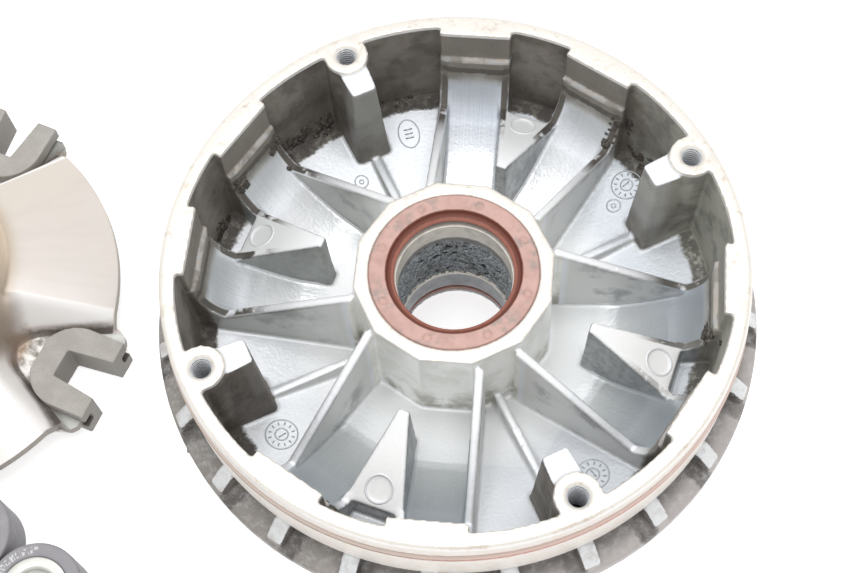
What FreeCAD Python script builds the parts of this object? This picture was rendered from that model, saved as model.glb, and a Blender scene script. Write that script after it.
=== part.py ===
import FreeCAD, Part
import math
import os

# Scooter variator set laid out on a bench: the movable sheave stands on its hub with its roller bowl
# upwards, the ramp plate lies beside it on its four slide pieces, and the eight rollers lie loose.
# Millimetres, +Z up, origin on the sheave's bore axis where its hub meets the bench.

V = FreeCAD.Vector

# ---- driving dimensions ---------------------------------------------------------------------------

# Shaft, bushes and seals in the sheave's hub
shaft_r = 15.0
shaft_clearance = 0.04
bush_wall = 1.9
bush_chamfer = 0.4
bush_length = 8.6
upper_bush_drop = 4.7
lower_bush_lift = 4.9
grease_groove_depth = 1.4
upper_seal_r = 22.0
upper_seal_height = 4.4
lower_seal_r = 18.6
lower_seal_height = 3.8
lower_seal_lift = 0.8
seal_lip_gap = 0.25
seal_face_width = 4.4
seal_skin = 1.3
seal_heel = 0.5
seal_web_dip = 0.8
seal_lip_share = 0.45
lower_lip_top = 2.85
spring_gap = 0.1
spring_lift = 0.4
seal_marks = 8
seal_mark_r = 1.2
seal_mark_depth = 0.3
spring_wire_r = 0.7

# Sheave casting
sheave_height = 52.5
hub_drop = 6.8
hub_corner_r = 26.3
hub_sides = 12
hub_foot_wall = 2.9
rim_r = 74.5
rim_chamfer = 0.8
rim_wall = 4.0
pocket_draft = 1.1
floor_at_hub = 13.2
floor_at_rim = 21.2
belt_face_angle = 14.0
flange_overhang = 5.8
flange_edge = 3.8
flange_top = 23.8
flange_rise = 1.4
neck_depth = 1.9
land_height_over_rim = 0.4
neck_height = 7.4
oring_drop = 7.3
oring_wire_r = 1.2
oring_seat_gap = 0.3
oring_groove_depth = 2.1

# Ramps, ribs and wedges in the bowl
quadrants = 4
first_boss_angle = 20.5
ramp_offset_angle = 30.2
track_half_width = 7.8
track_lead_in = 13.7
track_start_rise = 2.0
track_knee_back = 10.5
track_knee_rise = 10.2
track_end_back = 1.7
track_end_rise = 15.8
track_sag = 0.85
track_end_sag = 2.1
stop_depth = 3.0
stop_half_width = 9.7
stop_ledge_rise = 5.0
stop_ledge = 1.2
crest_drop = 2.6
crest_slope = 0.46
crest_end_back = 6.5
rib_thickness = 2.0
rib_draft = 0.35
rib_round = 0.8
wedge_apex_gap = 9.9
wedge_draft = 0.8
wedge_round = 0.9
wedge_mark_r = 3.6
wedge_mark_back = 5.0
wedge_mark_depth = 0.4
low_rib_width = 2.4
low_rib_height = 5.8
low_rib_end_height = 0.9

# Screw bosses and the guide pillars in front of them
boss_inset = 2.4
boss_r = 5.9
boss_step = 1.3
screw_hole_r = 2.55
screw_hole_depth = 22.0
screw_chamfer = 0.85
pillar_reach = 12.3
pillar_half_width = 3.4
pillar_taper = 0.07
pillar_draft_in = 1.4
pillar_draft_side = 1.6
pillar_round = 0.8

# Cooling fins round the flange
fin_count = 24
fin_width = 4.6
fin_inset = 0.8
fin_shoulder = 3.0
fin_height = 7.2
fin_tip_height = 3.2
fin_round = 0.7

# Ramp plate
plate_x = -155.3
plate_y = 22.4
plate_tab_angle = 61.9
plate_r = 60.9
plate_thickness = 2.8
plate_edge_z = 12.0
plate_slope = 0.466
hat_base_r = 33.4
hat_top_r = 29.6
hat_top_z = 33.6
hat_foot_inset = 0.38
hat_foot_drop = 0.9
hat_top_inset = 0.75
spline_r = 11.6
spline_teeth = 20
spline_depth = 0.9
tab_tip_r = 63.4
tab_half_width = 17.4
tab_corner_r = 3.0
valley_start_r = 38.5
valley_start_half_width = 6.9
valley_spread = 0.50
valley_wall_lean = 0.28
valley_end_lean = 0.25

# Slide pieces
slide_height = 11.8
slide_half_width = 11.9
slide_back_r = 44.4
slide_tip_r = 65.0
slide_slot_r = 51.4
slide_slot_half = 4.0
slide_slot_taper = 0.125
slide_heel_half = 4.8
slide_shoulder_r = 54.6
slide_corner_bulge = 1.9
slide_groove_z = 4.4
slide_groove_depth = 3.2
slide_clearance = 0.25

# Rollers
roller_x = -113.7
roller_y = -65.7
roller_row_angle = 139.3
roller_pitch = 25.45
roller_row_pitch = 22.9
roller_rows = ((0.0, 2), (-1.5, 3), (-1.0, 3))
roller_r = 12.5
roller_length = 15.0
roller_chamfer = 0.6
core_r = 8.8
core_bore_r = 5.5
core_recess = 0.35
core_chamfer = 0.7

# ---- sizes that follow from the driving dimensions ------------------------------------------------

deep = 0.5
bore_r = shaft_r + shaft_clearance
bush_r = bore_r + bush_wall
lip_r = bore_r + seal_lip_gap
hub_height = sheave_height - hub_drop
upper_seal_z = hub_height - upper_seal_height
upper_bush_z = hub_height - upper_bush_drop - bush_length
pocket_r = rim_r - rim_wall
neck_r = rim_r - neck_depth
land_r = rim_r + land_height_over_rim
land_bottom = flange_top + flange_rise + neck_height
flange_r = rim_r + flange_overhang
flange_bottom = flange_top - flange_edge
belt_slope = math.tan(math.radians(belt_face_angle))
hub_foot_r = lower_seal_r + hub_foot_wall
floor_slope = (floor_at_rim - floor_at_hub) / (pocket_r - hub_corner_r)
groove_r = rim_r - oring_groove_depth
oring_z = sheave_height - oring_drop
oring_r = groove_r + oring_seat_gap + oring_wire_r
stop_r = pocket_r - stop_depth
track_start_r = hub_corner_r + track_lead_in
track_start_z = floor_at_hub + track_start_rise
track_knee_r = stop_r - track_knee_back
track_knee_z = floor_at_hub + track_knee_rise
track_end_r = stop_r - track_end_back
track_end_z = floor_at_rim + track_end_rise
stop_ledge_z = track_end_z + stop_ledge_rise
crest_at_hub = hub_height - crest_drop
crest_end_r = stop_r - crest_end_back
wedge_apex_r = hub_corner_r + wedge_apex_gap
wedge_mark_from_r = crest_end_r - wedge_mark_back
boss_pitch_r = pocket_r - boss_inset
pillar_r = boss_pitch_r - pillar_reach
fin_r = flange_r - fin_inset
fin_shoulder_r = neck_r + fin_shoulder
quadrant_angle = 360.0 / quadrants
boss_angles = [first_boss_angle + quadrant_angle * k for k in range(quadrants)]
plate_drop = plate_thickness * math.hypot(1.0, plate_slope)
tab_z = slide_groove_z + slide_clearance
tab_angles = [plate_tab_angle + quadrant_angle * k for k in range(quadrants)]


def belt_face_z(r):
    """Height of the belt face, the cone under the sheave, at radius r."""
    return flange_bottom - (flange_r - r) * belt_slope


def floor_z(r):
    """Height of the bowl's floor at radius r."""
    return floor_at_hub + (r - hub_corner_r) * floor_slope


def crest_z(r):
    """Height of the cone on which the ribs and wedges end, at radius r."""
    return crest_at_hub - (r - hub_corner_r) * crest_slope


def plate_z(r):
    """Height of the ramp plate's upper cone at radius r."""
    return plate_edge_z + (plate_r - r) * plate_slope


# ---- shape helpers --------------------------------------------------------------------------------

def polygon(points):
    return Part.Face(Part.makePolygon(points + points[:1]))


def prism(outline, z0, z1):
    """A flat outline of (x, y) points raised from z0 to z1."""
    return polygon([V(x, y, z0) for x, y in outline]).extrude(V(0, 0, z1 - z0))


def drafted(low, z0, high, z1):
    """A solid whose outline changes evenly from low at z0 to high at z1."""
    wires = []
    for outline, z in ((low, z0), (high, z1)):
        points = [V(x, y, z) for x, y in outline]
        wires.append(Part.makePolygon(points + points[:1]))
    return Part.makeLoft(wires, True, True)


def turned(profile):
    """A closed (r, z) profile turned round the Z axis."""
    return polygon([V(r, 0, z) for r, z in profile]).revolve(V(0, 0, 0), V(0, 0, 1), 360)


def slab(edges, y0, y1):
    """Edges of a closed profile in the XZ plane, widened from y0 to y1."""
    face = Part.Face(Part.Wire(edges))
    face.translate(V(0, y0, 0))
    return face.extrude(V(0, y1 - y0, 0))


def line(a, b):
    return Part.LineSegment(V(a[0], 0, a[1]), V(b[0], 0, b[1])).toShape()


def bulged(a, b, sag):
    """An arc from a to b in the XZ plane that sags below their chord by sag."""
    length = math.hypot(b[0] - a[0], b[1] - a[1])
    middle = ((a[0] + b[0]) / 2 + sag * (b[1] - a[1]) / length,
              (a[1] + b[1]) / 2 - sag * (b[0] - a[0]) / length)
    return Part.Arc(V(a[0], 0, a[1]), V(middle[0], 0, middle[1]), V(b[0], 0, b[1])).toShape()


def softened(shape, radius, wanted):
    """The shape with a fillet on each straight edge for which wanted(edge's ends) holds."""
    edges = []
    for edge in shape.Edges:
        ends = [vertex.Point for vertex in edge.Vertexes]
        if len(ends) == 2 and wanted(ends):
            edges.append(edge)
    return shape.makeFillet(radius, edges)


def swung(shape, degrees):
    turned_copy = shape.copy()
    turned_copy.rotate(V(0, 0, 0), V(0, 0, 1), degrees)
    return turned_copy


def moved(shape, x, y, z=0.0):
    moved_copy = shape.copy()
    moved_copy.translate(V(x, y, z))
    return moved_copy


# ---- sheave ---------------------------------------------------------------------------------------

def sheave_shell():
    """Belt face, flange, neck, rim and bowl as one turned body."""
    groove_low = oring_z - oring_wire_r - deep
    groove_high = oring_z + oring_wire_r + deep
    return turned([
        (bore_r, 0), (hub_foot_r, 0), (hub_foot_r, belt_face_z(hub_foot_r)),
        (flange_r, flange_bottom), (flange_r, flange_top),
        (neck_r, flange_top + flange_rise), (neck_r, land_bottom - (land_r - neck_r)),
        (land_r, land_bottom), (land_r, groove_low), (groove_r, groove_low), (groove_r, groove_high),
        (rim_r, groove_high), (rim_r, sheave_height - rim_chamfer), (rim_r - rim_chamfer, sheave_height),
        (pocket_r, sheave_height), (pocket_r - pocket_draft, floor_z(pocket_r - pocket_draft)),
        (bore_r, floor_z(bore_r))])


def hub_post():
    """The many-sided post round the bore, with a side facing each boss and each ramp."""
    corners = []
    for k in range(hub_sides):
        angle = math.radians(first_boss_angle + 360.0 / hub_sides * (k + 0.5))
        corners.append((hub_corner_r * math.cos(angle), hub_corner_r * math.sin(angle)))
    return prism(corners, belt_face_z(hub_corner_r) + deep, hub_height)


def track_profile(start, foot):
    """Edges round the section of a ramp: the running surface on top, closed down to the shell."""
    first = (track_start_r, track_start_z)
    knee = (track_knee_r, track_knee_z)
    end = (track_end_r, track_end_z)
    ledge = (stop_r - stop_ledge, stop_ledge_z)
    back = (pocket_r, stop_ledge_z)
    return [line(foot, start), line(start, first), bulged(first, knee, track_sag),
            bulged(knee, end, track_end_sag), line(end, ledge), line(ledge, back),
            line(back, (pocket_r, floor_at_rim)), line((pocket_r, floor_at_rim), foot)]


def ramp_block():
    """One ramp along +X: the curved roller track and the stop behind it."""
    start_r = hub_corner_r * math.cos(math.pi / hub_sides) - deep
    foot = (start_r, belt_face_z(start_r) + 2 * deep)
    start = (start_r, floor_z(start_r))
    track = slab(track_profile(start, foot), -track_half_width, track_half_width)
    outline = [(stop_r, -stop_half_width), (pocket_r, -stop_half_width),
               (pocket_r, stop_half_width), (stop_r, stop_half_width)]
    return [track, prism(outline, floor_at_rim, sheave_height)]


def crest_wall(inner_r, draft):
    """The wall beside a track, along +X on its +Y side, up to the ledge by the stop."""
    ledge = (stop_r - stop_ledge, stop_ledge_z)
    end = (crest_end_r, crest_z(crest_end_r))
    foot = (inner_r, belt_face_z(inner_r) + 2 * deep)
    edges = [line(foot, (inner_r, crest_z(inner_r))), line((inner_r, crest_z(inner_r)), end),
             bulged(end, ledge, track_end_sag), line(ledge, (pocket_r, stop_ledge_z)),
             line((pocket_r, stop_ledge_z), (pocket_r, floor_at_rim)),
             line((pocket_r, floor_at_rim), foot)]
    near = track_half_width - deep
    low = [(inner_r - deep, near), (pocket_r + deep, near),
           (pocket_r + deep, track_half_width + rib_thickness + draft),
           (inner_r - deep, track_half_width + rib_thickness + draft)]
    high = [(inner_r - deep, near), (pocket_r + deep, near),
            (pocket_r + deep, track_half_width + rib_thickness),
            (inner_r - deep, track_half_width + rib_thickness)]
    wall = slab(edges, near, track_half_width + rib_thickness + draft)
    return wall.common(drafted(low, 0, high, sheave_height))


def rib():
    """Tall rib beside a track: its long crest is rounded on both sides."""
    wall = crest_wall(hub_corner_r - 2 * deep, rib_draft)
    crest_start = crest_z(hub_corner_r - 2 * deep)
    crest_end = crest_z(crest_end_r)

    def on_crest(ends):
        heights = sorted(point.z for point in ends)
        return abs(heights[0] - crest_end) < deep / 5 and abs(heights[1] - crest_start) < deep / 5

    return softened(wall, rib_round, on_crest)


def mirrored_side(shape):
    return shape.mirror(V(0, 0, 0), V(0, 1, 0))


def wedge():
    """The raised island between two paired tracks, along +X, its crest sloping with the ribs."""
    spread = math.radians(quadrant_angle / 2 - ramp_offset_angle)

    def half_width(r, set_back):
        return (r * math.sin(spread) - track_half_width - set_back) / math.cos(spread) + deep

    def outline(set_back):
        inner = wedge_apex_r + set_back
        outer = crest_end_r - set_back
        return [(inner, -half_width(inner, set_back)), (outer, -half_width(outer, set_back)),
                (outer, half_width(outer, set_back)), (inner, half_width(inner, set_back))]

    block = drafted(outline(0.0), floor_at_hub, outline(wedge_draft), crest_at_hub)
    inner = wedge_apex_r - 2 * deep
    outer = crest_end_r + 2 * deep
    below_crest = slab([line((inner, belt_face_z(inner)), (inner, crest_z(inner))),
                        line((inner, crest_z(inner)), (outer, crest_z(outer))),
                        line((outer, crest_z(outer)), (outer, belt_face_z(outer))),
                        line((outer, belt_face_z(outer)), (inner, belt_face_z(inner)))],
                       -stop_half_width * 2, stop_half_width * 2)

    def on_crest(ends):
        return all(abs(point.z - crest_z(point.x)) < deep / 50 for point in ends)

    mark = Part.makeCylinder(wedge_mark_r, crest_at_hub,
                             V(wedge_mark_from_r, 0, crest_z(wedge_mark_from_r) - wedge_mark_depth),
                             V(crest_slope, 0, 1))
    return softened(block.common(below_crest), wedge_round, on_crest).cut(mark)


def boss():
    """Screw boss along +X: round pad on the rim, and the tapered guide pillar in front of it."""
    pad = Part.makeCylinder(boss_r, sheave_height - floor_at_rim, V(boss_pitch_r, 0, floor_at_rim))
    pad = pad.common(Part.makeCylinder((pocket_r + groove_r) / 2, sheave_height))
    base = floor_z(pillar_r) - 2 * deep
    step_z = sheave_height - boss_step
    back_half = pillar_half_width + (boss_pitch_r - pillar_r) * pillar_taper
    low = [(pillar_r - pillar_draft_in, -pillar_half_width - pillar_draft_side),
           (boss_pitch_r, -back_half - pillar_draft_side), (boss_pitch_r, back_half + pillar_draft_side),
           (pillar_r - pillar_draft_in, pillar_half_width + pillar_draft_side)]
    high = [(pillar_r, -pillar_half_width), (boss_pitch_r, -back_half), (boss_pitch_r, back_half),
            (pillar_r, pillar_half_width)]

    def in_front(ends):
        upright = abs(ends[0].z - ends[1].z) > deep
        return all(point.x < pillar_r + deep for point in ends) and upright

    return [pad, softened(drafted(low, base, high, step_z), pillar_round, in_front)]


def screw_hole():
    hole = Part.makeCylinder(screw_hole_r, screw_hole_depth, V(boss_pitch_r, 0, sheave_height),
                             V(0, 0, -1))
    mouth = Part.makeCone(screw_hole_r + screw_chamfer, screw_hole_r, screw_chamfer,
                          V(boss_pitch_r, 0, sheave_height), V(0, 0, -1))
    return [hole, mouth]


def low_rib():
    """The low stiffening rib on the floor from the hub to a guide pillar."""
    start_r = hub_corner_r * math.cos(math.pi / hub_sides) - deep
    end_r = pillar_r
    edges = [line((start_r, floor_z(start_r) - deep), (start_r, floor_z(start_r) + low_rib_height)),
             line((start_r, floor_z(start_r) + low_rib_height),
                  (end_r, floor_z(end_r) + low_rib_end_height)),
             line((end_r, floor_z(end_r) + low_rib_end_height), (end_r, floor_z(end_r) - deep)),
             line((end_r, floor_z(end_r) - deep), (start_r, floor_z(start_r) - deep))]
    return slab(edges, -low_rib_width / 2, low_rib_width / 2)


def fin():
    """One cooling fin along +X, standing on the flange against the neck."""
    inner = neck_r - deep
    base = flange_top - deep
    top = flange_top + fin_height
    tip = flange_top + fin_tip_height
    edges = [line((inner, base), (inner, top)), line((inner, top), (fin_shoulder_r, top)),
             line((fin_shoulder_r, top), (fin_r, tip)), line((fin_r, tip), (fin_r, base)),
             line((fin_r, base), (inner, base))]

    def upper_side(ends):
        along = abs(ends[0].y - ends[1].y) < deep / 5
        return along and all(point.z > tip - deep / 5 for point in ends) and ends[0].x != ends[1].x

    return softened(slab(edges, -fin_width / 2, fin_width / 2), fin_round, upper_side)


def hub_bores():
    """Everything that is bored out of the hub: bush seats, grease space and seal seats."""
    grease_r = bore_r + grease_groove_depth
    lower_seat_top = lower_bush_lift + bush_length
    return turned([
        (0, -deep), (lip_r, -deep), (lip_r, lower_seal_lift), (lower_seal_r, lower_seal_lift),
        (lower_seal_r, lower_seal_lift + lower_seal_height), (bush_r, lower_seal_lift + lower_seal_height),
        (bush_r, lower_seat_top), (grease_r, lower_seat_top), (grease_r, upper_bush_z),
        (bush_r, upper_bush_z), (bush_r, upper_seal_z), (upper_seal_r, upper_seal_z),
        (upper_seal_r, hub_height + deep), (0, hub_height + deep)])


def make_sheave():
    added = [hub_post()]
    removed = [hub_bores()]
    tall_rib = rib()
    flank = crest_wall(crest_end_r - rib_thickness, 0.0)
    for angle in boss_angles:
        for shape in boss() + [low_rib()]:
            added.append(swung(shape, angle))
        for shape in screw_hole():
            removed.append(swung(shape, angle))
        added.append(swung(wedge(), angle + quadrant_angle / 2))
        for side in (1, -1):
            ramp_angle = angle + side * ramp_offset_angle
            for shape in ramp_block():
                added.append(swung(shape, ramp_angle))
            if side > 0:
                walls = [mirrored_side(tall_rib), flank]
            else:
                walls = [tall_rib, mirrored_side(flank)]
            for wall in walls:
                added.append(swung(wall, ramp_angle))
    for k in range(fin_count):
        added.append(swung(fin(), first_boss_angle + 360.0 / fin_count * k))
    body = sheave_shell().multiFuse(added)
    for cutter in removed:
        body = body.cut(cutter)
    return body.removeSplitter()


# ---- hub inserts ----------------------------------------------------------------------------------

def make_bush(z0):
    edge = bush_chamfer
    return turned([(bore_r, z0 + edge), (bore_r + edge, z0), (bush_r, z0), (bush_r, z0 + bush_length),
                   (bore_r + edge, z0 + bush_length), (bore_r, z0 + bush_length - edge)])


def seal_profile(outer_r, height):
    """Section of a lip seal with its flat face up: case, web and the lip that holds the spring."""
    face_r = outer_r - seal_face_width
    back_r = lip_r + seal_skin
    return [(outer_r, 0), (outer_r, height), (face_r, height), (face_r - seal_heel, height - seal_skin),
            (lip_r + seal_heel, height - seal_skin - seal_web_dip), (lip_r, height * seal_lip_share),
            (back_r, seal_heel), (back_r + seal_heel / 2, height / 2),
            (outer_r - seal_skin, height - seal_skin - seal_heel), (outer_r - seal_skin, 0)]


def make_upper_seal():
    """Lip seal in the hub's open end, with shallow round marks on its face."""
    seal = turned(seal_profile(upper_seal_r, upper_seal_height))
    for k in range(seal_marks):
        mark = Part.makeCylinder(seal_mark_r, 2 * seal_mark_depth,
                                 V(upper_seal_r - seal_face_width / 2, 0,
                                   upper_seal_height - seal_mark_depth))
        seal = seal.cut(swung(mark, first_boss_angle + 360.0 / seal_marks * k))
    return moved(seal, 0, 0, upper_seal_z)


def lower_profile():
    """The lower seal is plainer: a flat ring with a single lip."""
    return [(lower_seal_r, 0), (lower_seal_r, lower_seal_height),
            (lower_seal_r - seal_skin, lower_seal_height), (lower_seal_r - seal_skin, seal_skin),
            (lip_r + seal_skin, seal_skin), (lip_r + seal_skin - seal_heel / 2, lower_lip_top),
            (lip_r, lower_lip_top - seal_heel), (lip_r + seal_heel, 0)]


def make_lower_seal():
    return moved(turned(lower_profile()), 0, 0, lower_seal_lift)


def make_spring():
    """Garter spring round the upper seal's lip, as the ring that its coils fill."""
    spring_r = lip_r + seal_skin + seal_heel / 2 + spring_gap + spring_wire_r
    return Part.makeTorus(spring_r, spring_wire_r, V(0, 0, upper_seal_z + spring_lift + spring_wire_r))


def make_oring():
    return Part.makeTorus(oring_r, oring_wire_r, V(0, 0, oring_z))


# ---- ramp plate -----------------------------------------------------------------------------------

def plate_skin(lowered):
    """The (r, z) line of the plate's cone and hat, lowered by the given amount."""
    foot_r = hat_base_r - lowered * hat_foot_inset
    foot_z = plate_z(hat_base_r) - lowered * hat_foot_drop
    return [(plate_r, plate_edge_z - lowered), (foot_r, foot_z),
            (hat_top_r - lowered * hat_top_inset, hat_top_z - lowered)]


def valley(grow, base):
    """Space over one tab, along +X: it widens outwards and upwards from its floor at base."""
    far_r = plate_r + tab_half_width
    height = hat_top_z + deep - base

    def outline(level):
        half_in = valley_start_half_width + grow + level * valley_wall_lean
        half_out = half_in + (far_r - valley_start_r) * valley_spread
        start = valley_start_r - grow - level * valley_end_lean
        return [(start, -half_in), (far_r, -half_out), (far_r, half_out), (start, half_in)]

    return drafted(outline(0.0), base, outline(height), base + height)


def slide_form(inset, tip_r, z0, z1):
    """A slide piece's outer form moved in by inset: flat heel, rounded shoulders, straight arms."""
    back_r = slide_back_r + inset
    half = slide_half_width - inset
    heel = slide_heel_half
    middle = ((back_r + slide_shoulder_r) / 2, (heel + half) / 2)
    length = math.hypot(slide_shoulder_r - back_r, half - heel)
    bulge = slide_corner_bulge * (half - heel) / (slide_half_width - heel)
    over = (middle[0] - bulge * (half - heel) / length,
            middle[1] + bulge * (slide_shoulder_r - back_r) / length)
    edges = [Part.LineSegment(V(back_r, -heel, z0), V(back_r, heel, z0)).toShape(),
             Part.Arc(V(back_r, heel, z0), V(over[0], over[1], z0), V(slide_shoulder_r, half, z0)).toShape(),
             Part.LineSegment(V(slide_shoulder_r, half, z0), V(tip_r, half, z0)).toShape(),
             Part.LineSegment(V(tip_r, half, z0), V(tip_r, -half, z0)).toShape(),
             Part.LineSegment(V(tip_r, -half, z0), V(slide_shoulder_r, -half, z0)).toShape(),
             Part.Arc(V(slide_shoulder_r, -half, z0), V(over[0], -over[1], z0),
                      V(back_r, -heel, z0)).toShape()]
    return Part.Face(Part.Wire(edges)).extrude(V(0, 0, z1 - z0))


def plate_tab(low, high):
    """One flat tab along +X with rounded outer corners."""
    def corner(ends):
        return all(abs(point.x - tab_tip_r) < deep / 5 for point in ends) and ends[0].z != ends[1].z

    flat = prism([(plate_r - tab_half_width, -tab_half_width), (tab_tip_r, -tab_half_width),
                  (tab_tip_r, tab_half_width), (plate_r - tab_half_width, tab_half_width)], low, high)
    return softened(flat, tab_corner_r, corner)


def make_plate():
    """Pressed ramp plate: raised hat, four sloping sectors and four flat tabs in valleys between them."""
    low = tab_z
    high = tab_z + plate_thickness
    upper = plate_skin(0.0)
    lower = plate_skin(plate_drop)
    body = turned([(spline_r, hat_top_z), (spline_r, hat_top_z - plate_thickness),
                   (lower[2][0], hat_top_z - plate_thickness)] + lower[1::-1] + upper)
    under_skin = turned([(spline_r, low), (plate_r, low)] + upper + [(spline_r, hat_top_z)])
    for k in range(quadrants):
        turn = quadrant_angle * k
        space = valley(0.0, high)
        trough = valley(plate_thickness, low).cut(space).common(under_skin)
        tab = plate_tab(low, high).common(valley(plate_thickness, low))
        body = body.cut(swung(space, turn)).fuse([swung(trough, turn), swung(tab, turn)])
    for k in range(quadrants):
        notch = slide_form(slide_groove_depth - slide_clearance, tab_tip_r + tab_half_width, 0, high + deep)
        body = body.cut(swung(notch, quadrant_angle * k))
    tooth = math.pi * spline_r / spline_teeth / 2
    for k in range(spline_teeth):
        groove = prism([(0, -tooth / 2), (spline_r + spline_depth, -tooth / 2),
                        (spline_r + spline_depth, tooth / 2), (0, tooth / 2)], 0, hat_top_z + deep)
        body = body.cut(swung(groove, 360.0 / spline_teeth * k))
    return moved(swung(body.removeSplitter(), plate_tab_angle), plate_x, plate_y)


# ---- slide pieces ---------------------------------------------------------------------------------

def make_slide(angle):
    """U-shaped slide piece: flanges over and under the plate, a slot for the guide pillar between arms."""
    groove_top = slide_groove_z + plate_thickness + 2 * slide_clearance
    body = slide_form(0.0, slide_tip_r, 0, slide_groove_z)
    body = body.fuse([slide_form(slide_groove_depth, slide_tip_r, slide_groove_z - deep, groove_top + deep),
                      slide_form(0.0, slide_tip_r, groove_top, slide_height)])
    mouth = slide_tip_r + deep
    mouth_half = slide_slot_half + (mouth - slide_slot_r) * slide_slot_taper
    slot = prism([(slide_slot_r, -slide_slot_half), (mouth, -mouth_half), (mouth, mouth_half),
                  (slide_slot_r, slide_slot_half)], -deep, slide_height + deep)
    return moved(swung(body.cut(slot).removeSplitter(), angle), plate_x, plate_y)


# ---- rollers --------------------------------------------------------------------------------------

def roller_places():
    """Bench positions of the rollers: staggered rows at a slant."""
    along = math.radians(roller_row_angle)
    across = along + math.pi / 2
    places = []
    for row, (start, count) in enumerate(roller_rows):
        for k in range(count):
            step = (start + k) * roller_pitch
            drop = row * roller_row_pitch
            places.append((roller_x + step * math.cos(along) + drop * math.cos(across),
                           roller_y + step * math.sin(along) + drop * math.sin(across)))
    return places


def make_sleeve():
    c = roller_chamfer
    return turned([(core_r, 0), (roller_r - c, 0), (roller_r, c), (roller_r, roller_length - c),
                   (roller_r - c, roller_length), (core_r, roller_length)])


def make_core():
    c = core_chamfer
    low = core_recess
    high = roller_length - core_recess
    return turned([(core_bore_r, low + c), (core_bore_r + c, low), (core_r, low), (core_r, high),
                   (core_bore_r + c, high), (core_bore_r, high - c)])


# ---- write one file for each piece ----------------------------------------------------------------

os.makedirs("parts", exist_ok=True)
pieces = {
    "sheave": make_sheave(),
    "bush_upper": make_bush(upper_bush_z),
    "bush_lower": make_bush(lower_bush_lift),
    "seal_upper": make_upper_seal(),
    "seal_lower": make_lower_seal(),
    "seal_spring_upper": make_spring(),
    "rim_oring": make_oring(),
    "ramp_plate": make_plate(),
}
for number, angle in enumerate(tab_angles, 1):
    pieces[f"slide_piece_{number}"] = make_slide(angle)
for number, (x, y) in enumerate(roller_places(), 1):
    pieces[f"roller_{number}_sleeve"] = moved(make_sleeve(), x, y)
    pieces[f"roller_{number}_core"] = moved(make_core(), x, y)
for node, shape in pieces.items():
    print(node, len(shape.Solids), "solid(s)", round(shape.Volume, 1), "mm3, valid", shape.isValid())
    shape.exportStep(f"parts/{node}.step")
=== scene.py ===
import logging
import math
import random
from dataclasses import dataclass, field
from enum import Enum
from typing import Any, Callable, Sequence, Union

import bmesh
import bpy
from mathutils import Matrix, Vector, noise
from mathutils.bvhtree import BVHTree


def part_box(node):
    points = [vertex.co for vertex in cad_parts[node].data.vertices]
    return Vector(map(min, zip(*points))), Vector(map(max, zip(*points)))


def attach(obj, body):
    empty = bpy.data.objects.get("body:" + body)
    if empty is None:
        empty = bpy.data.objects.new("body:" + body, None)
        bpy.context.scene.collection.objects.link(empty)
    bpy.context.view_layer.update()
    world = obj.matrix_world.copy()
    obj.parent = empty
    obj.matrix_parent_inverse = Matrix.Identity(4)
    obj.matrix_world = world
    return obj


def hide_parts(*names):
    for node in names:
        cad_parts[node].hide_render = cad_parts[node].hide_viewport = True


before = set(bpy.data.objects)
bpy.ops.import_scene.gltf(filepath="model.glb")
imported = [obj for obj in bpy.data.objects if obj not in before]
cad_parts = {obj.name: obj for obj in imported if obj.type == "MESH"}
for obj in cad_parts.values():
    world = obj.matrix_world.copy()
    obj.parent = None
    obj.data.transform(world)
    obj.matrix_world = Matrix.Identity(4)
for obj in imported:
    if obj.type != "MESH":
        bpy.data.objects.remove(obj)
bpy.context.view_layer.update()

# Visual model of a scooter variator set: the movable sheave with its roller bowl upwards, the ramp
# plate on its four slide pieces, and eight loose rollers. Builders work in millimetres, +Z up, in the
# frame of the CAD model, and meshes are written in metres.

LOG = logging.getLogger("variator")
MM = 0.001
Colour = tuple[float, float, float, float]
Point2 = tuple[float, float]
Material = bpy.types.Material
Object = bpy.types.Object
Socket = bpy.types.NodeSocket
SocketLike = Union[float, tuple, "Val", Socket]
Shift = Callable[[float, float, float], Point2]
WHITE: Colour = (1.0, 1.0, 1.0, 1.0)


def srgb(*shown: float) -> Colour:
    """Turn red, green and blue as displayed, 0 to 255, into a linear colour with full alpha."""
    shares = [value / 255 for value in shown]
    return (*(s / 12.92 if s <= 0.04045 else ((s + 0.055) / 1.055) ** 2.4 for s in shares), 1.0)


# ---- shader kit --------------------------------------------------------------------------------------

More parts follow.
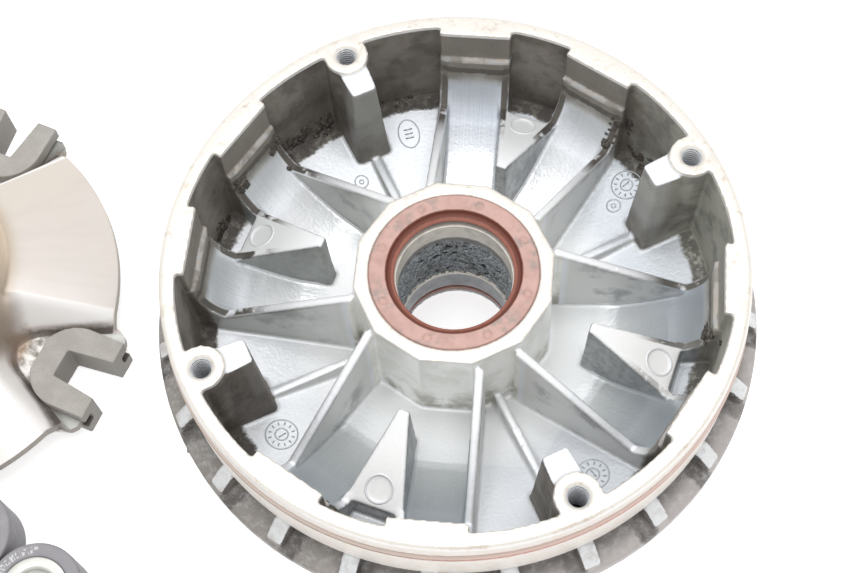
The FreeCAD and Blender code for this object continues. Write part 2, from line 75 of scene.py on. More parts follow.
@dataclass(frozen=True)
class Val:
    """A number on a shader socket; arithmetic on it adds Math nodes."""

    kit: "NodeKit"
    socket: Socket

    def math(self, operation: str, *others: SocketLike, clamp: bool = False) -> "Val":
        """Add a Math node with this number first, then the others; clamp keeps it within 0 and 1."""
        return self.kit.math(operation, self, *others, clamp=clamp)

    def __add__(self, other: SocketLike) -> "Val":
        """Sum."""
        return self.math("ADD", other)

    __radd__ = __add__

    def __mul__(self, other: SocketLike) -> "Val":
        """Product."""
        return self.math("MULTIPLY", other)

    __rmul__ = __mul__

    def __sub__(self, other: SocketLike) -> "Val":
        """Difference."""
        return self.math("SUBTRACT", other)

    def __rsub__(self, other: SocketLike) -> "Val":
        """Difference from a plain number."""
        return self.kit.math("SUBTRACT", other, self)

    def __truediv__(self, other: SocketLike) -> "Val":
        """Quotient."""
        return self.math("DIVIDE", other)

    def __rtruediv__(self, other: SocketLike) -> "Val":
        """Quotient of a plain number."""
        return self.kit.math("DIVIDE", other, self)

    def __abs__(self) -> "Val":
        """Absolute value."""
        return self.math("ABSOLUTE")

    def floor(self) -> "Val":
        """Whole part."""
        return self.math("FLOOR")

    def modulo(self, step: float) -> "Val":
        """Rest after division by step, from 0 upwards."""
        return self.math("FLOORED_MODULO", step)

    def most(self, other: SocketLike, *more: SocketLike) -> "Val":
        """The greatest of this number and the others."""
        greatest = self.math("MAXIMUM", other)
        return greatest.most(*more) if more else greatest

    def over(self, low: float, high: float) -> "Val":
        """Smooth step from 0 at low to 1 at high; high may be the smaller.

        Args:
            low: Where the step is 0.
            high: Where the step is 1.

        Returns:
            The mask.
        """
        node = self.kit.node("ShaderNodeMapRange", {"interpolation_type": "SMOOTHSTEP"},
                             {0: self, 1: low, 2: high, 3: 0.0, 4: 1.0})
        return Val(self.kit, node.outputs[0])

    def between(self, low: float, high: float, soft: float) -> "Val":
        """Smooth mask that is 1 between two values.

        Args:
            low: Lower edge.
            high: Upper edge.
            soft: Width of each edge.

        Returns:
            The mask.
        """
        return self.over(low - soft / 2, low + soft / 2) * self.over(high + soft / 2, high - soft / 2)


class NodeKit:
    """Adds nodes to one empty node tree."""

    def __init__(self, tree: bpy.types.NodeTree) -> None:
        """Empty the tree that is to be filled."""
        self.tree = tree
        tree.nodes.clear()

    def node(self, kind: str, settings: dict[str, Any], inputs: dict[Any, SocketLike]) -> bpy.types.Node:
        """Add one node.

        Args:
            kind: The node's type.
            settings: Properties that are set first.
            inputs: Values or links for its sockets, by name or index.

        Returns:
            The node.
        """
        node = self.tree.nodes.new(kind)
        for name, value in settings.items():
            setattr(node, name, value)
        for key, value in inputs.items():
            value = getattr(value, "socket", value)
            if isinstance(value, Socket):
                self.tree.links.new(value, node.inputs[key])
            else:
                node.inputs[key].default_value = value
        return node

    def math(self, operation: str, *values: SocketLike, clamp: bool = False) -> Val:
        """Add a Math node.

        Args:
            operation: Its operation.
            values: Its inputs in order.
            clamp: Whether the result is kept between 0 and 1.

        Returns:
            The result.
        """
        node = self.node("ShaderNodeMath", {"operation": operation, "use_clamp": clamp},
                         dict(enumerate(values)))
        return Val(self, node.outputs[0])

    def split(self, vector: Socket) -> tuple[Val, Val, Val]:
        """Separate a vector into three numbers."""
        outputs = self.node("ShaderNodeSeparateXYZ", {}, {0: vector}).outputs
        return Val(self, outputs[0]), Val(self, outputs[1]), Val(self, outputs[2])

    def seen(self) -> Val:
        """1 where a surface is seen directly, mirrored or through glass, and 0 where it only lights."""
        rays = self.node("ShaderNodeLightPath", {}, {}).outputs
        return Val(self, rays["Is Camera Ray"]).most(rays["Is Glossy Ray"], rays["Is Transmission Ray"])


class Surface(NodeKit):
    """A new material with what its finish is laid out by.

    Attributes:
        at: The surface point in millimetres, in the piece's own frame.
        x, y, z: The point's parts.
        dx, dy, r: Its place and radius from the finish's axis.
        nz: The upward part of the surface normal.
    """

    def __init__(self, name: str, centre: Point2 = (0.0, 0.0)) -> None:
        """Make the material.

        Args:
            name: Its name.
            centre: The finish's axis in millimetres.
        """
        self.material = bpy.data.materials.new(name)
        self.material.use_nodes = True
        super().__init__(self.material.node_tree)
        point = self.node("ShaderNodeTexCoord", {}, {}).outputs["Object"]
        self.at = self.node("ShaderNodeVectorMath", {"operation": "SCALE"},
                            {0: point, "Scale": 1 / MM}).outputs[0]
        self.x, self.y, self.z = self.split(self.at)
        self.dx, self.dy = self.x - centre[0], self.y - centre[1]
        self.r = (self.dx * self.dx + self.dy * self.dy).math("SQRT")
        normal = self.node("ShaderNodeNewGeometry", {}, {}).outputs["Normal"]
        self.nz = self.split(normal)[2]

    def bearing(self) -> Val:
        """Angle round the finish's axis, in radians."""
        return self.dy.math("ARCTAN2", self.dx)

    def noise(self, scale: float, detail: float = 3.0, roughness: float = 0.55, distortion: float = 0.0,
              at: Union[tuple, None] = None) -> Val:
        """Add a noise texture.

        Args:
            scale: Cycles for each millimetre.
            detail: Number of octaves.
            roughness: Weight of the fine octaves.
            distortion: Swirl.
            at: Three numbers for where it is read, if not at the surface point.

        Returns:
            The noise, about 0.5 on average.
        """
        place = self.at
        if at is not None:
            place = self.node("ShaderNodeCombineXYZ", {}, dict(enumerate(at))).outputs[0]
        node = self.node("ShaderNodeTexNoise", {"noise_dimensions": "3D"},
                         {"Vector": place, "Scale": scale, "Detail": detail, "Roughness": roughness,
                          "Distortion": distortion})
        return Val(self, node.outputs[0])

    def mix(self, share: SocketLike, first: SocketLike, second: SocketLike) -> Socket:
        """Blend two colours.

        Args:
            share: Share of the second.
            first: First colour.
            second: Second colour.

        Returns:
            The blended colour.
        """
        node = self.node("ShaderNodeMix", {"data_type": "RGBA", "blend_type": "MIX"},
                         {0: share, 6: first, 7: second})
        return node.outputs[2]

    def layers(self, base: SocketLike, *coats: tuple[SocketLike, SocketLike]) -> SocketLike:
        """Lay colours over a base.

        Args:
            base: The lowest colour.
            coats: Each next colour's share and the colour, from the lowest up.

        Returns:
            The colour on top.
        """
        for share, colour in coats:
            base = self.mix(share, base, colour)
        return base

    def finish(self, colour: SocketLike, rough: Val, bumps: Sequence[tuple[Val, float, float]],
               others: dict[str, SocketLike]) -> Material:
        """Close the material with one Principled shader.

        Args:
            colour: Its colour.
            rough: Its roughness.
            bumps: Reliefs from the lowest up: height, millimetres for a height of 1, and strength.
            others: Any other inputs, by name.

        Returns:
            The material.
        """
        inputs: dict[str, SocketLike] = {"Base Color": colour, "Roughness": rough, **others}
        for height, depth, strength in bumps:
            under = {"Normal": inputs["Normal"]} if "Normal" in inputs else {}
            bump = self.node("ShaderNodeBump", {}, {"Strength": strength, "Distance": depth * MM,
                                                    "Height": height, **under})
            inputs["Normal"] = bump.outputs[0]
        shader = self.node("ShaderNodeBsdfPrincipled", {}, inputs)
        self.node("ShaderNodeOutputMaterial", {}, {"Surface": shader.outputs[0]})
        return self.material


# ---- finishes ----------------------------------------------------------------------------------------

@dataclass(frozen=True)
class CastAluminium:
    """Die-cast sheave: bright casting, machined rim and hub, brushed tracks, grease on the walls."""

    casting: Colour = srgb(242, 244, 247)
    casting_dull: Colour = srgb(222, 227, 232)
    # Floor colour; laid on more strongly towards the right as painted shade.
    floor: Colour = srgb(208, 213, 219)
    # Painted highlight colour for the floors and tracks near the hub.
    hub_floor_highlight: Colour = srgb(252, 254, 255)
    machined: Colour = srgb(238, 233, 225)
    machined_line: Colour = srgb(224, 222, 218)
    track_dull: Colour = srgb(201, 208, 220)
    track_worn: Colour = srgb(184, 190, 189)
    # Painted highlight colour of the tracks.
    track_highlight: Colour = srgb(250, 252, 255)
    side: Colour = srgb(222, 222, 219)
    side_dark: Colour = srgb(126, 128, 130)
    side_far: Colour = srgb(152, 156, 149)
    wedge_side: Colour = srgb(172, 175, 178)
    wedge_grime: Colour = srgb(104, 108, 110)
    # Wedge crests: a lit colour on the near side and a painted shade colour on the far side.
    wedge_top_lit: Colour = srgb(255, 255, 255)
    wedge_top_shaded: Colour = srgb(236, 238, 239)
    grease: Colour = srgb(104, 97, 89)
    grease_thin: Colour = srgb(144, 138, 130)
    stain: Colour = srgb(186, 160, 132)
    land: Colour = srgb(230, 221, 211)
    # Gap colours between the fins: painted shade at the neck, a lighter colour further out that also mottles
    # the fins, and a darker colour towards the left.
    gap: Colour = srgb(96, 91, 87)
    gap_far: Colour = srgb(176, 170, 168)
    gap_left: Colour = srgb(122, 117, 112)
    black: Colour = srgb(52, 48, 44)
    green: Colour = srgb(184, 184, 174)
    fin: Colour = srgb(222, 225, 227)
    hub_dirt: Colour = srgb(255, 255, 251)
    hub_shade: Colour = srgb(240, 240, 234)
    hub_foot: Colour = srgb(136, 130, 116)
    # Where the parts of the casting begin and end, as the two ends of a soft edge.
    bowl_r: Point2 = (72.0, 70.9)
    flange_r: Point2 = (71.8, 72.3)
    wall_r: Point2 = (64.8, 66.2)
    crust_r: Point2 = (64.6, 65.8)
    floor_r: Point2 = (30.0, 38.0)
    floor_z: Point2 = (27.0, 24.0)
    side_r: Point2 = (29.0, 31.0)
    hub_side_r: Point2 = (29.0, 28.2)
    bore_side_r: Point2 = (22.5, 23.5)
    hub_floor_r: Point2 = (50.0, 36.0)
    boss_fold: Point2 = (9.0, 7.0)
    boss_r: Point2 = (53.0, 54.5)
    wedge_fold: Point2 = (35.0, 37.5)
    wedge_r: Point2 = (30.0, 32.0)
    wedge_slope: float = 0.46
    wedge_crest: Point2 = (52.0, 53.5)
    track_start: Point2 = (37.0, 40.0)
    track_end: Point2 = (60.0, 62.5)
    track_foot_z: Point2 = (13.0, 14.5)
    track_top_z: Point2 = (37.6, 36.4)
    track_half: float = 7.7
    worn_from: Point2 = (41.6, 42.5)
    end_line_z: Point2 = (36.8, 39.0)
    ledge_z: Point2 = (41.0, 42.4)
    fin_z: Point2 = (25.9, 33.0)
    gap_top_z: Point2 = (33.2, 32.0)
    gap_foot_z: Point2 = (18.0, 19.5)
    fin_pitch: float = 15.0
    # Span of the painted shadow beside each fin, in degrees from the fin.
    fin_shadow_span: Point2 = (1.2, 4.6)
    first_boss: float = 20.5
    ramp_offset: float = 30.2
    rim_z: float = 52.5
    hub_z: float = 45.7
    hub_r: float = 27.6

    def material(self) -> Material:
        """Build the material.

        Returns:
            The casting's material, laid out in the sheave's own frame.
        """
        kit = Surface("cast_aluminium")
        x, y, z, r, nz = kit.x, kit.y, kit.z, kit.r, kit.nz
        turn = kit.bearing() * (180 / math.pi) - self.first_boss + 45.0
        folded = abs(turn.modulo(90.0) - 45.0)
        quadrant = (turn / 45.0 + 8.0).floor()
        off_ramp = (folded - self.ramp_offset) * (math.pi / 180)
        along = r * off_ramp.math("COSINE")
        across = r * off_ramp.math("SINE")
        wall = 1.0 - abs(nz).over(0.35, 0.75)

        grain = kit.noise(1.1, 4.0)
        cloud = kit.noise(0.12, 4.0, 0.6)
        broad = kit.noise(0.05, 4.0, 0.6)
        spots = kit.noise(0.45, 5.0, 0.65)
        edge = (kit.noise(0.28, 5.0, 0.7) - 0.5) * 9.0
        ragged = (kit.noise(0.11, 6.0, 0.75) - 0.5) * 16.0
        streak = kit.noise(1.0, 4.0, 0.6, at=(along * 0.06, across * 2.2, quadrant))
        drip = kit.noise(1.0, 4.0, 0.6, at=(folded * 0.9, r * 0.5, z * 0.09))
        rings = kit.noise(1.0, 3.0, 0.5, at=(r * 3.0, folded * 0.02, z * 0.1))

        # Where the parts of the casting are, as masks.
        off_track = abs(across)
        half = self.track_half
        inside = r.over(*self.bowl_r)
        under_rim = z.over(self.rim_z - 0.7, self.rim_z - 1.3)
        on_track = (off_track.over(half + 0.2, half - 0.3) * along.over(*self.track_start)
                    * (z + edge * 0.22).over(*self.track_top_z) * z.over(*self.track_foot_z)
                    * nz.over(0.15, 0.4) * inside)
        machined = (z.over(self.rim_z - 0.9, self.rim_z - 0.5)
                    + r.over(self.hub_r + 0.6, self.hub_r) * z.over(self.hub_z - 0.5, self.hub_z - 0.25))
        machined = machined.math("MINIMUM", 1.0)
        beside_track = off_track.over(half + 2.6, half + 1.4) * along.over(*self.track_end)
        above_track = beside_track * z.over(36.0, 37.4)
        outer_wall = (r + edge * 0.12).over(*self.wall_r) * inside * under_rim
        side_wall = wall * inside * r.over(*self.side_r) * z.over(self.rim_z - 1.2, self.rim_z - 3.0)
        hub_side = (wall * r.over(*self.hub_side_r) * r.over(*self.bore_side_r)
                    * z.over(self.hub_z - 0.3, self.hub_z - 1.0))
        on_floor = nz.over(0.88, 0.96) * r.over(*self.floor_r) * z.over(*self.floor_z) * inside
        by_wedge = folded.over(*self.wedge_fold) * r.over(*self.wedge_r) * inside * under_rim
        crest = by_wedge * nz.over(0.7, 0.82) * (z + r * self.wedge_slope).over(*self.wedge_crest)
        outside = r.over(*self.flange_r) * under_rim
        on_fin = outside * z.between(*self.fin_z, 0.6) * nz.over(0.3, 0.5)
        in_gap = outside * z.over(*self.gap_top_z) * z.over(*self.gap_foot_z) * (1.0 - on_fin)

        # Grease and dirt on the bowl's wall, the pillars and round the tracks.
        crust = (r + ragged * 0.35 + edge * 0.25).over(*self.crust_r) * inside * under_rim
        crust = crust * (1.0 - beside_track)
        boss_front = folded.over(*self.boss_fold) * r.over(*self.boss_r) * inside * under_rim * wall
        boss_grease = boss_front * (0.54 + 0.36 * y.over(5.0, -20.0) + 0.34 * z.over(34.0, 24.0)
                                    + 0.5 * r.over(58.0, 63.0))
        far_end = along.over(56.5, 60.0) * y.over(20.0, 40.0)
        grimy = (cloud.over(0.42, 0.5) * along.over(46.0, 56.0)).most(far_end)
        track_rim = (off_track.between(half - 0.1, half + 1.7, 0.4) * grimy * inside * nz.over(0.1, 0.3)
                     * z.over(39.0, 37.0) * y.over(-46.0, -12.0))
        end_line = beside_track * (z + edge * 0.22).between(*self.end_line_z, 0.6) * inside
        dirty = (outer_wall * wall * (1.0 - on_track)).most(crust, above_track * outer_wall, boss_grease,
                                                            track_rim, end_line)
        dirty = (dirty * (0.9 + 0.2 * drip)).math("MINIMUM", 1.0)
        stained = side_wall * kit.noise(0.075, 5.0, 0.6).over(0.5, 0.66) * r.over(31.0, 36.0)
        shady = side_wall * r.over(31.0, 37.0) * (y - x * 1.2 + (cloud - 0.5) * 30.0).over(26.0, 62.0)
        wedge_dirt = (spots * 0.6 + drip * 0.4).over(0.42, 0.6) * 0.55

        polish_and_highlight = (along + streak * 0.9).over(*self.worn_from) * y.over(10.0, -16.0)
        # Painted highlight: floors and tracks that face upwards near the hub are painted near white.
        near_hub_highlight = r.over(*self.hub_floor_r) * (1.0 - polish_and_highlight * 0.8) * nz.over(0.55, 0.85) * inside
        to_right = x.over(18.0, 30.0)
        # Painted highlight and shade on the tracks: lighter towards the hub, to the far left and to the
        # right, darker on the far middle track; the streaks in it are real brushing.
        track_sheen = along.over(63.0, 43.0) * 0.8 + (y - x) * 0.008 + (streak - 0.4) * 0.8 + to_right * 0.35
        track_sheen = track_sheen + to_right * y.over(30.0, 44.0) * 0.15
        track_sheen = track_sheen - abs(x - 5.0).over(16.0, 8.0) * y.over(40.0, 50.0) * 0.3
        track_sheen = track_sheen.math("MULTIPLY", 1.0, clamp=True)
        track_colour = kit.layers(self.track_dull, (track_sheen, self.track_highlight),
                                  (polish_and_highlight * 0.5, self.track_worn))
        machined_colour = kit.layers(
            self.machined, (spots.over(0.56, 0.74) * 0.5, self.stain),
            (kit.noise(0.09, 5.0, 0.7).over(0.56, 0.7) * 0.45, self.stain),
            (rings * 0.25, self.machined_line))

        # The gaps between the fins carry painted shade, dark at the neck and lighter outwards, and a painted
        # shadow beside each fin on its side towards -Y; they are also darker towards the left.
        from_fin = (turn + self.fin_pitch / 2).modulo(self.fin_pitch) - self.fin_pitch / 2
        fin_shadow = from_fin * (1.0 - x.over(-5.0, 5.0) * 2.0) + (spots - 0.5) * 2.5
        gap_colour = kit.layers(
            self.gap, ((r + (cloud - 0.5) * 7.0).over(73.0, 79.0), self.gap_far),
            ((y * 0.3 - x + (cloud - 0.5) * 40.0).over(-25.0, 30.0) * 0.85, self.gap_left),
            (fin_shadow.between(*self.fin_shadow_span, 0.9) * (0.62 + cloud.over(0.4, 0.6) * 0.3), self.black),
            (kit.noise(0.55, 5.0, 0.75).over(0.46, 0.7) * 0.3, self.fin))

        # Darker along the foot of the walls: partly grime and partly painted shade near the floor.
        foot_grime_and_shade = (z - r * 0.18 + edge * 0.5).over(10.0, 5.0)
        smoky = kit.noise(0.13, 5.0, 0.6).over(0.48, 0.66) * 0.42 * (1.0 - beside_track * 0.8)
        crust_colour = kit.layers(
            self.grease, (drip.over(0.45, 0.75) * 0.2, self.grease_thin),
            (broad.over(0.42, 0.64) * 0.8, self.grease_thin),
            ((x + (broad - 0.5) * 50.0).over(46.0, 68.0) * 0.8, self.green),
            (beside_track * 0.6, self.grease_thin), (end_line.most(track_rim) * 0.6, self.black),
            (smoky.most(foot_grime_and_shade * spots.over(0.44, 0.54) * 0.85), self.black),
            (crust * nz.over(0.5, 0.8) * spots.over(0.38, 0.5) * 0.6, self.black))
        # Painted highlight along the stop ledges, broken where grime covers it.
        ledge_highlight = beside_track * (z + edge * 0.14).between(*self.ledge_z, 0.3)
        ledge_highlight = ledge_highlight * (cloud.over(0.40, 0.52) * 0.75 + 0.25) * outer_wall

        colour = kit.layers(
            self.casting, (cloud.over(0.35, 0.7) * 0.35, self.casting_dull),
            # The floors get a darker colour, laid on more strongly towards the right and slightly towards the
            # far side as painted shade.
            (on_floor * ((x + y * 0.2).over(-30.0, 45.0) * 0.8 + 0.2), self.floor),
            (side_wall * 0.8, self.side),
            (by_wedge * wall * 0.85, kit.mix(wedge_dirt, self.wedge_side, self.wedge_grime)),
            # Painted light on the wedge crests: white on the near side, painted shade towards the far side.
            (crest, kit.mix(y.over(-6.0, 26.0), self.wedge_top_lit, self.wedge_top_shaded)),
            (shady * 0.55, self.side_far), (stained * 0.6, self.side_dark), (on_track, track_colour),
            (near_hub_highlight * 0.85, self.hub_floor_highlight), (machined, machined_colour),
            (hub_side, kit.mix(cloud.over(0.4, 0.62), self.hub_dirt, self.hub_shade)),
            (hub_side * (z + edge * 0.8).over(26.0, 18.0) * cloud.over(0.36, 0.6) * 0.6, self.hub_foot),
            (outside * (0.65 + spots.over(0.35, 0.7) * 0.35), self.land),
            (in_gap * (0.75 + cloud * 0.3), gap_colour),
            (on_fin * (0.7 + cloud * 0.3), kit.mix(spots.over(0.45, 0.7) * 0.5, self.fin, self.gap_far)),
            (dirty, crust_colour),
            (ledge_highlight * 0.5, kit.mix(spots.over(0.45, 0.6), self.land, self.casting_dull)))
        rough = 0.40 + grain * 0.12 - on_track * (0.10 + streak * 0.06) - machined * 0.10 + dirty * 0.12
        metal = (0.45 + on_track * 0.15 + machined * 0.2 - dirty * 0.4 - in_gap * 0.3 - hub_side * 0.1
                 - crest * 0.35 - near_hub_highlight * 0.15)
        bumps = ((grain + spots * dirty * 4.0, 0.14, 0.6),
                 (streak * on_track + rings * machined * 0.35, 0.08, 0.5))
        return kit.finish(colour, rough, bumps, {"Metallic": metal, "IOR": 1.5})


@dataclass(frozen=True)
class TurnedFinish:
    """A turned or moulded ring: base colour, second colour in cloudy patches, and lathe lines."""

    name: str
    base: Colour
    patch: Colour
    roughness: float
    metallic: float
    patch_share: float = 0.5
    patch_scale: float = 0.3
    line_depth: float = 0.02
    line_scale: float = 2.5
    grit: float = 0.02
    wear: Union[Colour, None] = None
    wear_from: float = 0.62
    coat: float = 0.0

    def material(self, centre: Point2 = (0.0, 0.0)) -> Material:
        """Build the material.

        Args:
            centre: The ring's axis in millimetres.

        Returns:
            The material.
        """
        kit = Surface(self.name, centre)
        cloud = kit.noise(self.patch_scale, 4.0, 0.6)
        fine = kit.noise(3.2, 3.0, 0.6)
        lines = kit.noise(1.0, 2.0, at=(kit.r * self.line_scale, kit.z * self.line_scale, 0.0))
        coats = [(cloud.over(0.38, 0.68) * self.patch_share, self.patch), (fine * 0.18, self.patch)]
        if self.wear is not None:
            worn = kit.noise(0.8, 5.0, 0.7).over(self.wear_from, self.wear_from + 0.12)
            coats.append((worn, self.wear))
        rough = self.roughness + (cloud - 0.5) * 0.15 + fine * 0.06
        return kit.finish(kit.layers(self.base, *coats), rough,
                          ((lines, self.line_depth, 0.6), (fine, self.grit, 0.6)),
                          {"Metallic": self.metallic, "Coat Weight": self.coat})


@dataclass(frozen=True)
class BenchFinish:
    """Plain white paper that is seen white and keeps the object's shadow."""

    paper: Colour = (0.80, 0.80, 0.80, 1.0)
    cool: Colour = (0.76, 0.765, 0.77, 1.0)
    lift: float = 0.62

    def material(self) -> Material:
        """Build the material.

        Returns:
            The material.
        """
        kit = Surface("bench_paper")
        paper = kit.mix(kit.noise(0.02, 2.0) * 0.06, self.paper, self.cool)
        diffuse = kit.node("ShaderNodeBsdfDiffuse", {}, {"Color": paper})
        glow = kit.node("ShaderNodeEmission", {}, {"Color": WHITE, "Strength": kit.seen() * self.lift})
        both = kit.node("ShaderNodeAddShader", {}, {0: diffuse.outputs[0], 1: glow.outputs[0]})
        kit.node("ShaderNodeOutputMaterial", {}, {"Surface": both.outputs[0]})
        return kit.material


@dataclass(frozen=True)
class PlateSteel:
    """Pressed steel plate: bright and warm, with drawn lines, painted highlights on the bends, painted shade
    on the steep faces and risers, and a tan tint on the hat.
    """

    bright: Colour = srgb(222, 216, 215)
    warm: Colour = srgb(222, 212, 200)
    drawn_line: Colour = srgb(206, 197, 189)
    tint: Colour = srgb(196, 178, 154)
    # Scuffs, and painted shade on steep faces.
    scuff_and_shade: Colour = srgb(176, 170, 164)
    tab: Colour = srgb(182, 183, 179)
    # Painted highlight colour for the bends and the tab feet.
    polish: Colour = srgb(252, 250, 248)
    cut: Colour = srgb(128, 122, 114)
    rust: Colour = srgb(158, 122, 86)
    grime: Colour = srgb(84, 76, 68)
    tab_z: float = 7.6
    tab_foot_r: Point2 = (50.0, 44.0)
    bend_r: Point2 = (34.0, 39.0)
    sector_edge_r: Point2 = (60.8, 60.4)
    cut_edge_r: Point2 = (60.5, 60.8)
    highlight_z: Point2 = (9.4, 11.6)
    riser_z: Point2 = (9.8, 8.8)
    riser_foot_z: Point2 = (4.8, 5.6)
    rust_r: Point2 = (32.0, 38.5)
    rust_z: Point2 = (19.0, 11.0)
    grime_z: Point2 = (12.0, 9.5)

    def material(self, centre: Point2, hat_r: float) -> Material:
        """Build the material.

        Args:
            centre: The plate's axis in millimetres.
            hat_r: Outer radius of the raised hat.

        Returns:
            The material.
        """
        kit = Surface("plate_steel", centre)
        z, r, nz, bearing = kit.z, kit.r, kit.nz, kit.bearing()
        drawn = kit.noise(1.0, 4.0, 0.6, at=(bearing * 7.0, r * 0.03, z * 0.02))
        rubbed = kit.noise(1.0, 4.0, 0.6, at=(bearing * 6.0, r * 0.12, 0.0))
        cloud = kit.noise(0.05, 4.0, 0.6)
        spots = kit.noise(0.9, 4.0, 0.7)
        fine = kit.noise(4.0, 2.0)
        sweep = (bearing * 2.0).math("SINE") * 0.5 + 0.5
        sweep = (sweep + (cloud - 0.5) * 0.8).math("MULTIPLY", 1.0, clamp=True)
        # Steep faces are painted darker, as shade.
        edge = nz.over(0.55, 0.1)
        on_tab = z.over(self.tab_z + 0.7, self.tab_z) * nz.over(0.85, 0.97)
        # Painted reflection: bright and dark streaks on the tab near its foot.
        tab_foot_reflection = on_tab * r.over(*self.tab_foot_r)
        height = z + (spots - 0.5) * 1.2 + (cloud - 0.5) * 2.0
        slope = nz.over(0.93, 0.84) * r.over(*self.bend_r) * r.over(*self.sector_edge_r)
        # Painted highlight: the upper part of each bend is painted near white and made less metallic.
        polish_and_highlight = slope * height.over(*self.highlight_z)
        # Painted shade with grime on the lower, steep part of each bend, next to the tab.
        riser_shade_and_grime = slope * height.over(*self.riser_z) * z.over(*self.riser_foot_z)
        rusty = (r + (spots - 0.5) * 3.0).between(*self.rust_r, 3.0) * z.over(*self.rust_z)
        colour = kit.layers(
            self.bright, (sweep, self.warm), (drawn.over(0.4, 0.7) * 0.4, self.drawn_line),
            (r.over(hat_r + 4.0, hat_r - 1.0) * 0.8, self.tint), (edge * 0.35, self.scuff_and_shade),
            (on_tab, kit.mix(spots.over(0.45, 0.7) * 0.5, self.tab, self.scuff_and_shade)),
            (tab_foot_reflection * 0.85, kit.mix(rubbed.over(0.42, 0.58), self.cut, self.polish)),
            (polish_and_highlight, self.polish),
            (riser_shade_and_grime * 0.85, kit.mix(rubbed.over(0.45, 0.6), self.grime, self.cut)),
            (rusty * cloud.over(0.36, 0.56) * 0.5, self.rust),
            (rusty * z.over(*self.grime_z) * rubbed.over(0.5, 0.62) * 0.7, self.grime),
            (r.over(*self.cut_edge_r) * nz.over(0.6, 0.3) * 0.85, self.cut),
            (spots.over(0.66, 0.8) * 0.35, self.scuff_and_shade))
        rough = 0.30 + drawn * 0.10 + edge * 0.08 + spots * 0.05 + on_tab * 0.1
        metal = 0.85 - polish_and_highlight * 0.82 - riser_shade_and_grime * 0.5 - tab_foot_reflection * 0.4
        return kit.finish(colour, rough, ((fine, 0.02, 0.5), (drawn, 0.12, 0.35)), {"Metallic": metal})


@dataclass(frozen=True)
class MouldedPlastic:
    """Filled plastic of the slide pieces: matt warm grey, with painted shade darkening the sides and painted
    black shade inside the slots.
    """

    base: Colour = srgb(168, 164, 158)
    deep: Colour = srgb(134, 130, 126)
    pale: Colour = srgb(192, 188, 182)
    black: Colour = srgb(66, 62, 58)
    slot: Point2 = (1.5, 8.0)

    def material(self) -> Material:
        """Build the material.

        Returns:
            The material.
        """
        kit = Surface("slide_plastic")
        flat = abs(kit.nz)
        cloud = kit.noise(0.16, 4.0, 0.6)
        speck = kit.noise(1.6, 4.0, 0.7)
        grain = kit.noise(5.0, 3.0, 0.6)
        # Painted shade: steep sides are painted darker with the deep colour, and flat faces inside the slots
        # are painted black.
        colour = kit.layers(
            self.base, (cloud.over(0.35, 0.7) * 0.5, self.pale), (speck.over(0.5, 0.75) * 0.5, self.deep),
            (flat.over(0.6, 0.1) * 0.45, self.deep),
            (kit.z.between(*self.slot, 0.4) * flat.over(0.35, 0.6) * 0.85, self.black))
        rough = 0.46 + cloud * 0.12 + grain * 0.08
        return kit.finish(colour, rough, ((grain, 0.05, 0.6), (speck, 0.08, 0.35)), {"IOR": 1.5})


@dataclass(frozen=True)
class RollerNylon:
    """Dark grey nylon with worn patches of pale print round the ends."""

    base: Colour = srgb(150, 148, 152)
    # Darker copy of the base, painted on the sides as shade.
    side: Colour = srgb(138, 136, 140)
    pale: Colour = srgb(172, 170, 172)
    deep: Colour = srgb(112, 110, 116)
    print_ink: Colour = srgb(222, 222, 224)
    turn_each: float = 47.0
    turn_first: float = 68.0
    letter: float = 9.0
    letter_span: Point2 = (0.12, 0.86)
    word: Point2 = (20.0, 84.0)
    print_r: Point2 = (9.6, 11.3)

    def material(self, centre: Point2, number: int) -> Material:
        """Build one roller's material.

        Args:
            centre: The roller's axis in millimetres.
            number: The roller's number, which turns the print.

        Returns:
            The material.
        """
        kit = Surface(f"roller_nylon_{number}", centre)
        r, nz = kit.r, kit.nz
        bearing = kit.bearing() * (180 / math.pi) + self.turn_each * number + self.turn_first
        cell = (bearing / self.letter).floor()
        step = (bearing / self.letter).math("FRACT")
        in_word = bearing.modulo(180.0).between(*self.word, 2.0)
        ink = kit.noise(1.0, 1.0, at=(step * 2.2, r * 0.8, cell * 3.7)).over(0.44, 0.5)
        mark = (in_word * ink * r.between(*self.print_r, 0.3) * nz.over(0.8, 0.95)
                * step.between(*self.letter_span, 0.1))
        cloud = kit.noise(0.35, 4.0, 0.6)
        scuffs = kit.noise(1.0, 4.0, 0.7, at=(kit.dx * 1.2, kit.dy * 1.2, kit.z * 6.0))
        grain = kit.noise(4.5, 3.0)
        # The sides are painted in a darker copy of the base colour, as shade.
        colour = kit.layers(
            self.base, (abs(nz).over(0.8, 0.3), self.side), (cloud.over(0.4, 0.75) * 0.4, self.pale),
            (scuffs.over(0.55, 0.8) * 0.35, self.deep), (mark * 0.75, self.print_ink))
        rough = 0.42 + cloud * 0.14 + grain * 0.08
        return kit.finish(colour, rough, ((grain, 0.03, 0.6),), {"IOR": 1.5})


